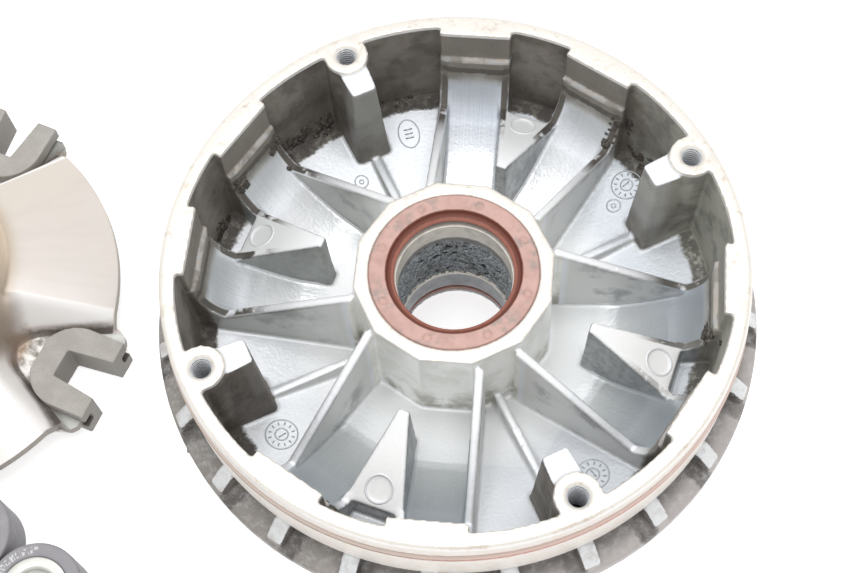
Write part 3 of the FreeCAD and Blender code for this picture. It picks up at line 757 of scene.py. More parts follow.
@dataclass(frozen=True)
class SealRubber:
    """Salmon seal rubber with a dark lip, and brown dirt in its dip and round its outer edge."""

    face: Colour = srgb(206, 168, 158)
    patch: Colour = srgb(186, 148, 138)
    grey: Colour = srgb(152, 144, 138)
    lip: Colour = srgb(146, 78, 58)
    dirt: Colour = srgb(104, 54, 40)
    lip_r: Point2 = (17.9, 17.4)
    dip: Point2 = (16.3, 17.6)
    outer: float = 22.0

    def material(self) -> Material:
        """Build the material.

        Returns:
            The material.
        """
        kit = Surface("seal_rubber")
        r, z = kit.r, kit.z
        cloud = kit.noise(0.16, 4.0, 0.65)
        spots = kit.noise(0.7, 5.0, 0.7)
        fine = kit.noise(3.0, 3.0)
        ragged = (spots - 0.5) * 0.9
        shade = kit.noise(0.11, 3.0, 0.5).over(0.45, 0.58)
        smear = kit.noise(0.4, 5.0, 0.6).over(0.42, 0.62)
        hoops = kit.noise(1.0, 2.0, at=(r * 2.6, z * 1.4, 0.0))
        in_dip = (r + ragged).between(*self.dip, 0.5)
        at_edge = (r + ragged * 0.4).over(self.outer - 0.55, self.outer - 0.15)
        colour = kit.layers(
            self.face, (cloud.over(0.4, 0.68) * 0.75, self.patch), (smear * shade * 0.7, self.grey),
            (r.over(*self.lip_r) * (0.7 + hoops * 0.3), self.lip),
            ((in_dip * 0.85).most(at_edge * 0.35), self.dirt))
        rough = 0.4 + cloud * 0.12 + fine * 0.06
        return kit.finish(colour, rough, ((fine, 0.03, 0.6), (spots, 0.06, 0.4)), {"IOR": 1.5})


@dataclass(frozen=True)
class OringRubber:
    """Rim O-ring: red rubber along its middle, dust along both edges, browner towards one side."""

    middle: float
    dusty: Point2 = (0.3, 0.62)
    pale_from: Point2 = (30.0, 66.0)
    brown_from: Point2 = (8.0, -34.0)
    rubber: Colour = srgb(202, 134, 122)
    dust: Colour = srgb(232, 216, 206)
    brown: Colour = srgb(146, 130, 114)

    def material(self) -> Material:
        """Build the material.

        Returns:
            The material.
        """
        kit = Surface("oring_rubber")
        cloud = kit.noise(0.1, 4.0, 0.6)
        spots = kit.noise(0.6, 4.0, 0.6)
        pale = (kit.x + (cloud - 0.5) * 40.0).over(*self.pale_from) * 0.45
        off_middle = abs(kit.z - self.middle + (spots - 0.5) * 0.4)
        colour = kit.layers(
            self.rubber, (pale + spots.over(0.5, 0.7) * 0.2, self.dust),
            ((kit.x + (cloud - 0.5) * 30.0).over(*self.brown_from) * 0.9, self.brown),
            (off_middle.over(*self.dusty) * 0.75, self.dust))
        return kit.finish(colour, 0.45 + cloud * 0.1, ((spots, 0.03, 0.6),), {"IOR": 1.5})


@dataclass(frozen=True)
class BushFinish:
    """Coated bush: beige running face, cream chipped edge, grease smeared in from the grease space."""

    low: float
    high: float
    grease_middle: float = 23.0
    smear: float = 2.4
    face: Colour = srgb(242, 238, 228)
    worn: Colour = srgb(206, 203, 195)
    lower_face: Colour = srgb(178, 180, 184)
    lower_worn: Colour = srgb(142, 144, 148)
    edge: Colour = srgb(250, 246, 236)
    grease: Colour = srgb(84, 86, 90)

    def material(self) -> Material:
        """Build the material.

        Returns:
            The material.
        """
        kit = Surface(f"bush_metal_{round(self.low)}")
        z = kit.z
        cloud = kit.noise(0.3, 5.0, 0.65)
        spots = kit.noise(0.9, 5.0, 0.7)
        lines = kit.noise(1.0, 2.0, at=(z * 2.5, 0.0, 0.0))
        ragged = (spots - 0.5) * 1.8
        upper = self.low > self.grease_middle
        face, worn = (self.face, self.worn) if upper else (self.lower_face, self.lower_worn)
        coats = [(cloud.over(0.4, 0.7) * 0.7, worn), (lines * 0.25, worn)]
        if upper:
            smeared = (z + ragged).over(self.low + self.smear + 0.5, self.low + self.smear - 0.5)
        else:
            coats.append(((z + ragged * 0.7).over(self.high - 1.5, self.high - 1.0), self.edge))
            smeared = (z + ragged).over(self.high - 0.6, self.high) * spots.over(0.5, 0.6)
        coats.append((smeared * 0.85, self.grease))
        return kit.finish(kit.layers(face, *coats), 0.34 + cloud * 0.15,
                          ((lines + smeared * spots * 3.0, 0.08, 0.6),), {"Metallic": 0.3})


@dataclass(frozen=True)
class GreaseFilm:
    """Old grease: black-grey, wet, with pale ridges painted as highlights."""

    dark: Colour = srgb(74, 78, 86)
    pale: Colour = srgb(242, 250, 255)
    speck: Colour = srgb(72, 74, 79)
    ridge_r: Point2 = (16.1, 15.6)

    def material(self) -> Material:
        """Build the material.

        Returns:
            The material.
        """
        kit = Surface("grease")
        grain = kit.noise(2.4, 4.0, 0.7)
        crease = kit.noise(1.0, 4.0, 0.62, 0.9, (kit.x * 0.7, kit.y * 0.7, kit.z * 1.9))
        crease = abs(crease - 0.5).over(0.012, 0.05)
        # Painted highlight: the raised ridges are painted pale, brightest away from the creases.
        folds_and_highlight = (kit.r + (grain - 0.5) * 0.25).over(*self.ridge_r) * (0.45 + 0.55 * crease)
        colour = kit.layers(self.dark, (folds_and_highlight, self.pale), (grain.over(0.55, 0.85) * 0.25, self.speck))
        return kit.finish(colour, 0.24 + grain * 0.3, ((grain * 0.5 + folds_and_highlight, 0.5, 0.9),),
                          {"IOR": 1.47, "Coat Weight": 0.3, "Coat Roughness": 0.2})


class Ring(Enum):
    """Finishes of the turned and moulded rings."""

    LIP = TurnedFinish("lip_rubber", srgb(206, 150, 138), srgb(176, 112, 98), 0.40, 0.0, 0.5, 0.2,
                       0.02, 2.0, 0.03, srgb(110, 66, 54), 0.7, 0.1)
    SPRING = TurnedFinish("spring_steel", srgb(196, 196, 196), srgb(140, 138, 134), 0.3, 0.9, 0.4, 0.6,
                          0.01, 3.0, 0.01)
    CORE = TurnedFinish("roller_metal", srgb(212, 212, 207), srgb(190, 188, 182), 0.36, 0.8, 0.35, 0.3,
                        0.03, 3.0, 0.015, srgb(160, 156, 148), 0.72)
    # The thread's near-white colour is a painted highlight for the light seen in the screw holes.
    THREAD = TurnedFinish("thread_metal", srgb(250, 252, 255), srgb(222, 228, 236), 0.3, 0.25, 0.4, 0.6,
                          0.01, 3.0, 0.02, srgb(84, 76, 68), 0.66)
    CRUST = TurnedFinish("dried_grease", srgb(84, 76, 68), srgb(50, 45, 41), 0.42, 0.0, 0.7, 0.5,
                         0.01, 2.0, 0.12, srgb(120, 110, 98), 0.62, 0.15)
    PALE_MARK = TurnedFinish("pale_cast_mark", srgb(240, 242, 243), srgb(222, 225, 228), 0.42, 0.15, 0.4, 0.2,
                             0.01, 2.0, 0.05)
    MARK = TurnedFinish("cast_mark", srgb(206, 210, 214), srgb(184, 190, 196), 0.45, 0.75, 0.4, 0.2,
                        0.01, 2.0, 0.05)


# ---- mesh kit ----------------------------------------------------------------------------------------

def mesh_piece(name: str, points: Sequence[Sequence[float]], faces: Sequence[Sequence[int]],
               smooth: bool = True) -> Object:
    """Make an object from points in millimetres.

    Args:
        name: The piece's name.
        points: Its points, in millimetres.
        faces: Its faces as point numbers.
        smooth: Whether its faces are shaded smooth.

    Returns:
        The object, linked to the scene.
    """
    mesh = bpy.data.meshes.new(name)
    mesh.from_pydata([tuple(v * MM for v in point) for point in points], [], [tuple(f) for f in faces])
    mesh.update()
    return link_mesh(name, mesh, smooth)


def link_mesh(name: str, mesh: bpy.types.Mesh, smooth: bool = True) -> Object:
    """Put a mesh into the scene with faces turned outwards.

    Args:
        name: The piece's name.
        mesh: Its mesh.
        smooth: Whether its faces are shaded smooth.

    Returns:
        The object.
    """
    work = bmesh.new()
    work.from_mesh(mesh)
    bmesh.ops.recalc_face_normals(work, faces=work.faces)
    for face in work.faces:
        face.smooth = smooth
    work.to_mesh(mesh)
    work.free()
    piece = bpy.data.objects.new(name, mesh)
    bpy.context.scene.collection.objects.link(piece)
    return piece


def bend_through(start: Vector, corner: Vector, end: Vector, steps: int) -> list[Point2]:
    """Draw a curve towards a corner.

    Args:
        start: Its first point.
        corner: The corner.
        end: Its last point.
        steps: Runs that it is divided into.

    Returns:
        Its points, one more than its runs.
    """
    points = []
    for step in range(steps + 1):
        t = step / steps
        point = start * (1 - t) ** 2 + corner * (2 * t * (1 - t)) + end * t ** 2
        points.append((point.x, point.y))
    return points


def rounded(profile: Sequence[Point2], radius: float, steps: int = 4) -> list[Point2]:
    """Round the corners of a closed profile.

    Args:
        profile: Its corners in order.
        radius: How far from each corner the rounding starts, at most.
        steps: Points in each corner.

    Returns:
        The rounded profile.
    """
    result: list[Point2] = []
    count = len(profile)
    for k, corner in enumerate(profile):
        here = Vector(corner)
        before = Vector(profile[k - 1]) - here
        after = Vector(profile[(k + 1) % count]) - here
        start = here + before.normalized() * min(radius, before.length * 0.45)
        end = here + after.normalized() * min(radius, after.length * 0.45)
        result.extend(bend_through(start, here, end, steps))
    return result


def divided(profile: Sequence[Point2], longest: float) -> list[Point2]:
    """Add points to a closed profile until no run is too long.

    Args:
        profile: Its corners in order.
        longest: The longest run.

    Returns:
        The divided profile.
    """
    result: list[Point2] = []
    for k, (r, z) in enumerate(profile):
        next_r, next_z = profile[(k + 1) % len(profile)]
        count = max(1, math.ceil(math.hypot(next_r - r, next_z - z) / longest))
        for step in range(count):
            t = step / count
            result.append((r + (next_r - r) * t, z + (next_z - z) * t))
    return result


def oval(across: float, along: float, count: int = 36) -> list[Point2]:
    """Points round an oval, starting on its along side."""
    return [(along * math.cos(2 * math.pi * k / count), across * math.sin(2 * math.pi * k / count))
            for k in range(count)]


def band(here: int, there: int, count: int) -> list[tuple[int, ...]]:
    """Faces between two closed rows of count points, given the first point of each row."""
    return [(here + j, there + j, there + (j + 1) % count, here + (j + 1) % count) for j in range(count)]


def lathe(name: str, profile: Sequence[Point2], segments: int, centre: Point2 = (0.0, 0.0),
          shift: Union[Shift, None] = None) -> Object:
    """Turn a closed profile into a ring.

    Args:
        name: The piece's name.
        profile: Closed (r, z) profile in millimetres.
        segments: Steps round the axis.
        centre: The axis, in millimetres.
        shift: Moves a point: takes its angle, r and z, and returns the new r and z.

    Returns:
        The ring.
    """
    points = []
    faces = []
    rows = len(profile)
    for k in range(segments):
        angle = 2 * math.pi * k / segments
        for r, z in profile:
            if shift is not None:
                r, z = shift(angle, r, z)
            points.append((centre[0] + r * math.cos(angle), centre[1] + r * math.sin(angle), z))
        faces.extend(band(k * rows, (k + 1) % segments * rows, rows))
    return mesh_piece(name, points, faces)


def cords(name: str, lines: Sequence[tuple[Sequence[Sequence[float]], bool]], radius: float,
          sides: int = 6) -> Object:
    """Make round cords along lines of points.

    Args:
        name: The piece's name.
        lines: Each line's points in millimetres, and whether it closes on itself.
        radius: The cords' radius.
        sides: Sides of each cord.

    Returns:
        One piece with every cord.
    """
    points: list[Vector] = []
    faces: list[tuple[int, ...]] = []
    for line, closed in lines:
        base = len(points)
        count = len(line)
        for k, here in enumerate(line):
            before = Vector(line[k - 1] if closed or k else here)
            after = Vector(line[(k + 1) % count] if closed or k < count - 1 else here)
            ahead = (after - before).normalized()
            side = ahead.cross(Vector((0.0, 0.0, 1.0))).normalized()
            lift = side.cross(ahead)
            for j in range(sides):
                angle = 2 * math.pi * j / sides
                points.append(Vector(here) + (side * math.cos(angle) + lift * math.sin(angle)) * radius)
        for k in range(count if closed else count - 1):
            faces.extend(band(base + k * sides, base + (k + 1) % count * sides, sides))
        if not closed:
            for row in (0, count - 1):
                faces.append(tuple(base + row * sides + j for j in range(sides)))
    return mesh_piece(name, points, faces)


def softened_copy(name: str, node: Object, voxel: float, passes: int,
                  faces: int) -> Object:
    """Copy a CAD node's mesh and round its edges as casting or moulding does.

    Args:
        name: The piece's name.
        node: The CAD node's object, which stays as it is.
        voxel: Grid size in millimetres.
        passes: Smoothing passes.
        faces: Most triangles the piece may have.

    Returns:
        The rounded copy.
    """
    piece = bpy.data.objects.new(name, node.data.copy())
    bpy.context.scene.collection.objects.link(piece)
    remesh = piece.modifiers.new("grid", "REMESH")
    remesh.mode = "VOXEL"
    remesh.voxel_size = voxel * MM
    apply_modifiers(piece)
    smooth = piece.modifiers.new("soft", "SMOOTH")
    smooth.factor = 0.5
    smooth.iterations = passes
    triangles = 2 * len(piece.data.polygons)
    if triangles > faces:
        thin = piece.modifiers.new("thin", "DECIMATE")
        thin.ratio = faces / triangles
    apply_modifiers(piece)
    for face in piece.data.polygons:
        face.use_smooth = True
    return piece


def apply_modifiers(piece: Object) -> None:
    """Turn a piece's modifiers into its mesh.

    Args:
        piece: The piece.
    """
    depsgraph = bpy.context.evaluated_depsgraph_get()
    mesh = bpy.data.meshes.new_from_object(piece.evaluated_get(depsgraph))
    old = piece.data
    piece.modifiers.clear()
    piece.data = mesh
    bpy.data.meshes.remove(old)


def dressed(piece: Object, material: Material, slot: str, body: str,
            *nodes: str) -> Object:
    """Give a piece its finish, its body and the CAD nodes it stands for.

    Args:
        piece: The piece.
        material: Its material.
        slot: Name of a material slot; not used.
        body: The CAD body it moves with.
        nodes: CAD nodes it replaces.

    Returns:
        The piece.
    """
    piece.data.materials.clear()
    piece.data.materials.append(material)
    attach(piece, body)
    if nodes:
        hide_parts(*nodes)
    LOG.info("%s: %d faces, rides on %s", piece.name, len(piece.data.polygons), body)
    return piece


def shade_by_angle(piece: Object, degrees: float) -> None:
    """Shade a piece smooth, with sharp edges where its faces meet steeply.

    Args:
        piece: The piece.
        degrees: The smallest angle between faces that makes their edge sharp.
    """
    work = bmesh.new()
    work.from_mesh(piece.data)
    limit = math.radians(degrees)
    for face in work.faces:
        face.smooth = True
    for edge in work.edges:
        edge.smooth = len(edge.link_faces) == 2 and edge.calc_face_angle(0.0) < limit
    work.to_mesh(piece.data)
    work.free()


def eased_min(first: float, second: float, width: float) -> float:
    """The smaller of two numbers, rounded off where they are closer than width."""
    near = max(0.0, 1.0 - abs(first - second) / width)
    return min(first, second) - near * near * width / 4


def centre_of(node: str) -> Point2:
    """The middle of a CAD node seen from above, in millimetres."""
    low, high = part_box(node)
    return ((low.x + high.x) / 2 / MM, (low.y + high.y) / 2 / MM)


# ---- sub-assemblies ----------------------------------------------------------------------------------

@dataclass
class Sheave:
    """The movable sheave's casting with its casting marks and screw threads."""

    voxel: float = 0.5
    quick_voxel: float = 0.8
    most_faces: int = 185000
    floor_at_hub: float = 13.2
    floor_slope: float = 0.181
    hub_corner_r: float = 26.3
    first_boss: float = 20.5
    boss_pitch_r: float = 68.1
    thread_r: float = 2.6
    thread_depth: float = 0.28
    thread_pitch: float = 1.0
    thread_length: float = 14.0
    thread_below_rim: float = 0.9
    thread_wall: float = 0.15
    thread_row: float = 0.16
    thread_sides: int = 40
    thread_fade: float = 0.8
    crest_at_hub: float = 43.1
    crest_slope: float = 0.46
    wedge_mark: Point2 = (56.0, 3.6)
    mark_wire: float = 0.2
    wedge_wire: float = 0.42
    dials: tuple[Point2, ...] = ((57.4, 212.3), (57.8, 302.9), (62.0, 34.2))
    small_rings: tuple[Point2, ...] = ((55.3, 31.9), (50.0, 118.0))
    oval_place: Point2 = (58.6, 98.7)
    dial_rings: Point2 = (4.2, 1.7)
    dial_ticks: Point2 = (2.7, 3.5)
    tick_count: int = 12
    first_tick: float = 12.0
    dial_bar: Point2 = (1.1, 0.3)
    small_radii: Point2 = (1.9, 0.6)
    oval_half: Point2 = (3.0, 4.3)
    oval_bar: Point2 = (1.3, 1.2)
    top: float = field(init=False)

    def __post_init__(self) -> None:
        """Read the rim's height from the CAD node."""
        self.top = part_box("sheave")[1].z / MM

    def floor_z(self, r: float) -> float:
        """Height of the bowl's floor at radius r."""
        return self.floor_at_hub + (r - self.hub_corner_r) * self.floor_slope

    def casting(self) -> None:
        """Make the casting from the CAD solid with rounded cast edges."""
        voxel = self.voxel
        piece = softened_copy("sheave_casting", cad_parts["sheave"], voxel, 3, self.most_faces)
        dressed(piece, CastAluminium().material(), "cast_aluminium", "sheave", "sheave")

    def thread(self, number: int, material: Material) -> None:
        """Make the thread in one screw hole.

        Args:
            number: The boss's number, from 1.
            material: The thread's material.
        """
        angle = math.radians(self.first_boss + 90 * (number - 1))
        centre = (self.boss_pitch_r * math.cos(angle), self.boss_pitch_r * math.sin(angle))
        high = self.top - self.thread_below_rim
        low = high - self.thread_length
        back = self.thread_r + self.thread_wall
        inner = self.thread_r - self.thread_depth
        profile = divided([(inner, low), (inner, high)], self.thread_row)
        steps = len(profile) // 2
        profile = profile[:steps + 1] + [(back, high), (back, low)]

        def helix(turn: float, r: float, z: float) -> Point2:
            """Move a point of the inner wall on to the thread's flank.

            Args:
                turn: The point's angle round the axis.
                r: Its radius.
                z: Its height.

            Returns:
                The new radius and height.
            """
            if r > self.thread_r:
                return r, z
            phase = (z / self.thread_pitch - turn / (2 * math.pi)) % 1.0
            fade = min(1.0, (high - z) / self.thread_fade)
            return inner + self.thread_depth * (abs(2 * phase - 1) * fade + (1 - fade)), z

        dressed(lathe(f"cover_thread_{number}", profile, self.thread_sides, centre, helix), material,
                "cast_aluminium", "sheave")

    def wedge_z(self, r: float) -> float:
        """Height of a wedge's crest at r along it."""
        return self.crest_at_hub - self.crest_slope * (r - self.hub_corner_r)

    def on_floor(self, r: float, bearing: float, loop: Sequence[Point2]) -> list[Vector]:
        """Lay a flat figure on the bowl's floor.

        Args:
            r: Radius of the figure's middle.
            bearing: Its bearing in degrees.
            loop: Its points: outwards, and to the left.

        Returns:
            The points on the floor.
        """
        turn = Matrix.Rotation(math.radians(bearing), 3, "Z")
        points = []
        for out, left in loop:
            point = turn @ Vector((r + out, left, 0.0))
            point.z = self.floor_z(math.hypot(point.x, point.y)) + self.mark_wire * 0.3
            points.append(point)
        return points

    def floor_marks(self) -> None:
        """Raise the marks on the bowl's floor: date dials, small rings and a plain oval."""
        (outer, inner), (small, dot) = self.dial_rings, self.small_radii
        (length, aside), (gap, tall) = self.dial_bar, self.oval_bar
        angles = [math.radians(360 / self.tick_count * k + self.first_tick) for k in range(self.tick_count)]
        ticks = [([(c * math.cos(angle), c * math.sin(angle)) for c in self.dial_ticks], False)
                 for angle in angles]
        dial = [(oval(outer, outer), True), (oval(inner, inner, 20), True), *ticks,
                ([(-length, aside), (length, aside)], False)]
        ring = [(oval(small, small, 24), True), (oval(dot, dot, 12), True)]
        plate = [(oval(*self.oval_half), True)]
        plate += [([(out, -tall), (out, tall)], False) for out in (-gap, 0.0, gap)]
        lines = [(self.on_floor(r, bearing, loop), closed)
                 for places, figure in ((self.dials, dial), (self.small_rings, ring),
                                        ((self.oval_place,), plate))
                 for r, bearing in places for loop, closed in figure]
        dressed(cords("casting_marks", lines, self.mark_wire), Ring.MARK.value.material(),
                "cast_aluminium", "sheave")

    def wedge_marks(self) -> None:
        """Raise a plain ring on each wedge's crest."""
        rings: list[tuple[list[Vector], bool]] = []
        mark_r, ring_r = self.wedge_mark
        for k in range(4):
            turn = Matrix.Rotation(math.radians(self.first_boss + 45 + 90 * k), 3, "Z")
            ring = [turn @ Vector((mark_r + out, left, self.wedge_z(mark_r + out) - self.wedge_wire * 0.6))
                    for out, left in oval(ring_r, ring_r * 0.92)]
            rings.append((ring, True))
        dressed(cords("wedge_marks", rings, self.wedge_wire), Ring.PALE_MARK.value.material(),
                "cast_aluminium", "sheave")

    def build(self) -> None:
        """Build the casting and everything cast or cut into it."""
        self.casting()
        self.floor_marks()
        self.wedge_marks()
        material = Ring.THREAD.value.material()
        for number in range(1, 5):
            self.thread(number, material)


@dataclass
class HubInserts:
    """Bushes, lip seals, garter spring, rim O-ring and the old grease in the hub."""

    bore_r: float = 15.04
    lip_r: float = 15.29
    chip: float = 0.9
    seal_face: float = 4.4
    seal_wall: float = 1.3
    lip_height: float = 0.45
    dimples: int = 8
    first_dimple: float = 20.5
    dimple_r: float = 1.25
    dimple_depth: float = 0.5
    dimple_edge: float = 0.35
    spring_coils: int = 150
    spring_wire: float = 0.16
    coil_steps: int = 10
    wire_sides: int = 6
    grease_r: float = 16.4
    grease_wall: float = 0.6
    grease_laps: Point2 = (0.6, 0.5)
    grease_seed: int = 5

    def spans(self, node: str) -> tuple[float, float, float]:
        """Outer radius, lowest z and highest z of a round CAD node on the sheave's axis."""
        low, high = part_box(node)
        return high.x / MM, low.z / MM, high.z / MM

    def bush(self, node: str) -> None:
        """Make one bush, with a chipped coating at the end next to the grease.

        Args:
            node: The bush's CAD node.
        """
        outer, low, high = self.spans(node)
        profile = rounded([(self.bore_r, low), (outer, low), (outer, high), (self.bore_r, high)], 0.3, 4)

        def chipped(turn: float, r: float, z: float) -> Point2:
            """Wear the greasy end unevenly.

            Args:
                turn: The point's angle round the axis.
                r: Its radius.
                z: Its height.

            Returns:
                The new radius and height.
            """
            greasy_end = z - low if node == "bush_upper" else high - z
            at_end = max(0.0, 1.0 - greasy_end)
            at_bore = max(0.0, 1.0 - (r - self.bore_r) / self.chip)
            value = noise.noise(Vector((math.cos(turn) * 9, math.sin(turn) * 9, z * 0.8)))
            return r + at_end * at_bore * max(0.0, value) * self.chip, z

        dressed(lathe(node + "_ring", divided(profile, 0.45), 240, (0.0, 0.0), chipped),
                BushFinish(low, high).material(), "bush_metal", "sheave", node)

    def upper_seal(self) -> None:
        """Make the upper seal: flat face with dimples, a dip, and the lip."""
        outer, low, high = self.spans("seal_upper")
        face_r, lip_r, back = outer - self.seal_face, self.lip_r, outer - self.seal_wall
        lip_z = low + self.lip_height * (high - low)
        profile = [(outer, low), (outer, high), (face_r, high), (face_r - 0.5, high - 1.3),
                   (lip_r + 0.6, high - 2.0), (lip_r, lip_z), (lip_r + 1.3, low + 0.5),
                   (lip_r + 1.55, low + 2.2), (back, high - 1.9), (back, low)]
        profile = divided(rounded(profile, 0.4, 4), 0.35)
        mark_r = outer - self.seal_face / 2
        angles = [2 * math.pi * k / self.dimples + math.radians(self.first_dimple)
                  for k in range(self.dimples)]

        def dimpled(turn: float, r: float, z: float) -> Point2:
            """Press the round marks into the face.

            Args:
                turn: The point's angle round the axis.
                r: Its radius.
                z: Its height.

            Returns:
                The new radius and height.
            """
            if z < high - 0.2:
                return r, z
            x, y = r * math.cos(turn), r * math.sin(turn)
            gap = min(math.hypot(x - mark_r * math.cos(angle), y - mark_r * math.sin(angle))
                      for angle in angles)
            share = min(1.0, max(0.0, (self.dimple_r - gap) / self.dimple_edge))
            return r, z - self.dimple_depth * share

        dressed(lathe("seal_upper_ring", profile, 420, (0.0, 0.0), dimpled), SealRubber().material(),
                "seal_rubber", "sheave", "seal_upper")

    def lower_seal(self) -> None:
        """Make the lower seal, a plain ring with one lip."""
        outer, low, high = self.spans("seal_lower")
        wall, lip_r = self.seal_wall, self.lip_r
        profile = [(outer, low), (outer, high), (outer - wall, high), (outer - wall, low + wall),
                   (lip_r + 1.3, low + wall), (lip_r + 1.05, low + 2.85), (lip_r, low + 2.35),
                   (lip_r + 0.5, low)]
        dressed(lathe("seal_lower_ring", rounded(profile, 0.35, 4), 240), Ring.LIP.value.material(),
                "seal_rubber", "sheave", "seal_lower")

    def spring(self) -> None:
        """Wind the garter spring behind the upper seal's lip."""
        outer, low, high = self.spans("seal_spring_upper")
        wire = (high - low) / 2
        middle_r, middle_z = outer - wire, (low + high) / 2
        wire_r, sides = self.spring_wire, self.wire_sides
        steps = self.spring_coils * self.coil_steps
        points, faces = [], []
        for k in range(steps):
            turn = 2 * math.pi * k / steps
            phase = turn * self.spring_coils
            r = middle_r + (wire - wire_r) * math.cos(phase)
            z = middle_z + (wire - wire_r) * math.sin(phase)
            for j in range(sides):
                side = 2 * math.pi * j / sides
                spread = r + wire_r * math.cos(phase) * math.cos(side)
                lift = z + wire_r * math.sin(phase) * math.cos(side)
                along = wire_r * math.sin(side)
                points.append((spread * math.cos(turn) - along * math.sin(turn),
                               spread * math.sin(turn) + along * math.cos(turn), lift))
            faces.extend(band(k * sides, (k + 1) % steps * sides, sides))
        dressed(mesh_piece("garter_spring", points, faces), Ring.SPRING.value.material(), "spring_steel",
                "sheave", "seal_spring_upper")

    def rim_oring(self) -> None:
        """Make the O-ring round the rim."""
        outer, low, high = self.spans("rim_oring")
        wire = (high - low) / 2
        profile = [(outer - wire + x, (low + high) / 2 + y) for x, y in oval(wire, wire, 16)]
        dressed(lathe("rim_oring_cord", profile, 360), OringRubber((low + high) / 2).material(),
                "oring_rubber", "sheave", "rim_oring")

    def grease(self) -> None:
        """Lay the wrinkled grease between the bushes."""
        low = self.spans("bush_lower")[2] - self.grease_laps[0]
        high = self.spans("bush_upper")[1] + self.grease_laps[1]
        outer = self.grease_r
        inner = self.bore_r + self.grease_wall
        profile = divided([(inner, low), (inner, high)], 0.22)
        steps = len(profile) // 2
        profile = profile[:steps + 1] + [(outer, high), (outer, low)]
        noise.seed_set(self.grease_seed)

        def wrinkled(turn: float, r: float, z: float) -> Point2:
            """Pile the inner wall into folds.

            Args:
                turn: The point's angle round the axis.
                r: Its radius.
                z: Its height.

            Returns:
                The new radius and height.
            """
            if r > outer - 0.3 or z < low + 0.2 or z > high - 0.2:
                return r, z
            at = Vector((math.cos(turn) * 6.0, math.sin(turn) * 6.0, z * 0.8))
            bend = noise.noise_vector(at * 0.9) * 0.8
            ridge = 1.0 - abs(noise.noise(at + bend)) * 3.2
            fine = 1.0 - abs(noise.noise((at + bend) * 2.3)) * 3.0
            return min(outer - 0.1, max(self.bore_r + 0.1, r + 0.3 - 0.5 * ridge - 0.3 * fine)), z

        dressed(lathe("hub_grease", profile, 520, (0.0, 0.0), wrinkled), GreaseFilm().material(),
                "seal_rubber", "sheave")

    def build(self) -> None:
        """Build every insert."""
        for node in ("bush_upper", "bush_lower"):
            self.bush(node)
        self.upper_seal()
        self.lower_seal()
        self.spring()
        self.rim_oring()
        self.grease()


@dataclass
class WallCrust:
    """Lumps of dried grease on the bowl's wall, thickest along its foot.

    A cluster has its first and last bearing, its lowest and highest z, its count of lumps, and the
    radius from which they are thrown at the wall.
    """

    clusters: tuple[tuple[float, float, float, float, int, float], ...] = (
        (116.0, 134.0, 20.6, 28.0, 64, 58.0), (131.8, 135.4, 34.0, 38.5, 16, 60.0),
        (145.5, 149.5, 33.0, 38.0, 18, 60.0), (151.0, 160.0, 21.0, 27.0, 24, 63.0),
        (241.0, 250.0, 21.0, 25.0, 24, 63.0), (236.0, 240.0, 33.0, 37.5, 12, 60.0),
        (341.5, 346.0, 33.0, 38.0, 16, 60.0), (40.8, 44.8, 28.0, 38.0, 18, 60.0),
        (28.0, 40.0, 20.6, 27.0, 28, 58.0), (205.0, 214.0, 20.6, 25.0, 16, 58.0),
        (186.0, 196.0, 20.6, 25.0, 16, 58.0), (96.0, 106.0, 20.6, 22.5, 22, 58.0))
    sizes: Point2 = (0.35, 1.15)
    lump: tuple[float, float, float] = (1.2, 1.0, 0.6)
    swell: float = 0.55
    wall_from: float = 61.0
    seed: int = 11

    def build(self) -> None:
        """Seat every lump on the casting and join them in one piece."""
        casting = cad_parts["sheave"]
        tree = BVHTree.FromPolygons(
            [casting.matrix_world @ vertex.co / MM for vertex in casting.data.vertices],
            [tuple(side.vertices) for side in casting.data.polygons])
        chance = random.Random(self.seed)
        ball = bmesh.new()
        bmesh.ops.create_icosphere(ball, subdivisions=3, radius=1.0)
        shape = [vertex.co.copy() for vertex in ball.verts]
        sides = [tuple(vertex.index for vertex in face.verts) for face in ball.faces]
        ball.free()
        points: list[Vector] = []
        faces: list[tuple[int, ...]] = []
        for start, end, low, high, count, cast_from in self.clusters:
            for _ in range(count):
                bearing = math.radians(chance.uniform(start, end))
                z = chance.triangular(low, high, low)
                size = chance.triangular(*self.sizes, self.sizes[0])
                out = Vector((math.cos(bearing), math.sin(bearing), 0.0))
                seat, normal, _, _ = tree.ray_cast(out * cast_from + Vector((0.0, 0.0, z)), out)
                if seat is None or seat.xy.length < self.wall_from:
                    continue
                turn = normal.to_track_quat("Z", "Y")
                offset = Vector((chance.random(), chance.random(), chance.random())) * 40
                base = len(points)
                faces.extend(tuple(base + n for n in side) for side in sides)
                for co in shape:
                    swell = 1.0 + self.swell * noise.fractal(co * 1.3 + offset, 1.0, 2.0, 3)
                    stretched = Vector(part * size * wide for part, wide in zip(co, self.lump))
                    points.append(seat + turn @ stretched * swell)
        dressed(mesh_piece("wall_crust", points, faces), Ring.CRUST.value.material(), "seal_rubber",
                "sheave")


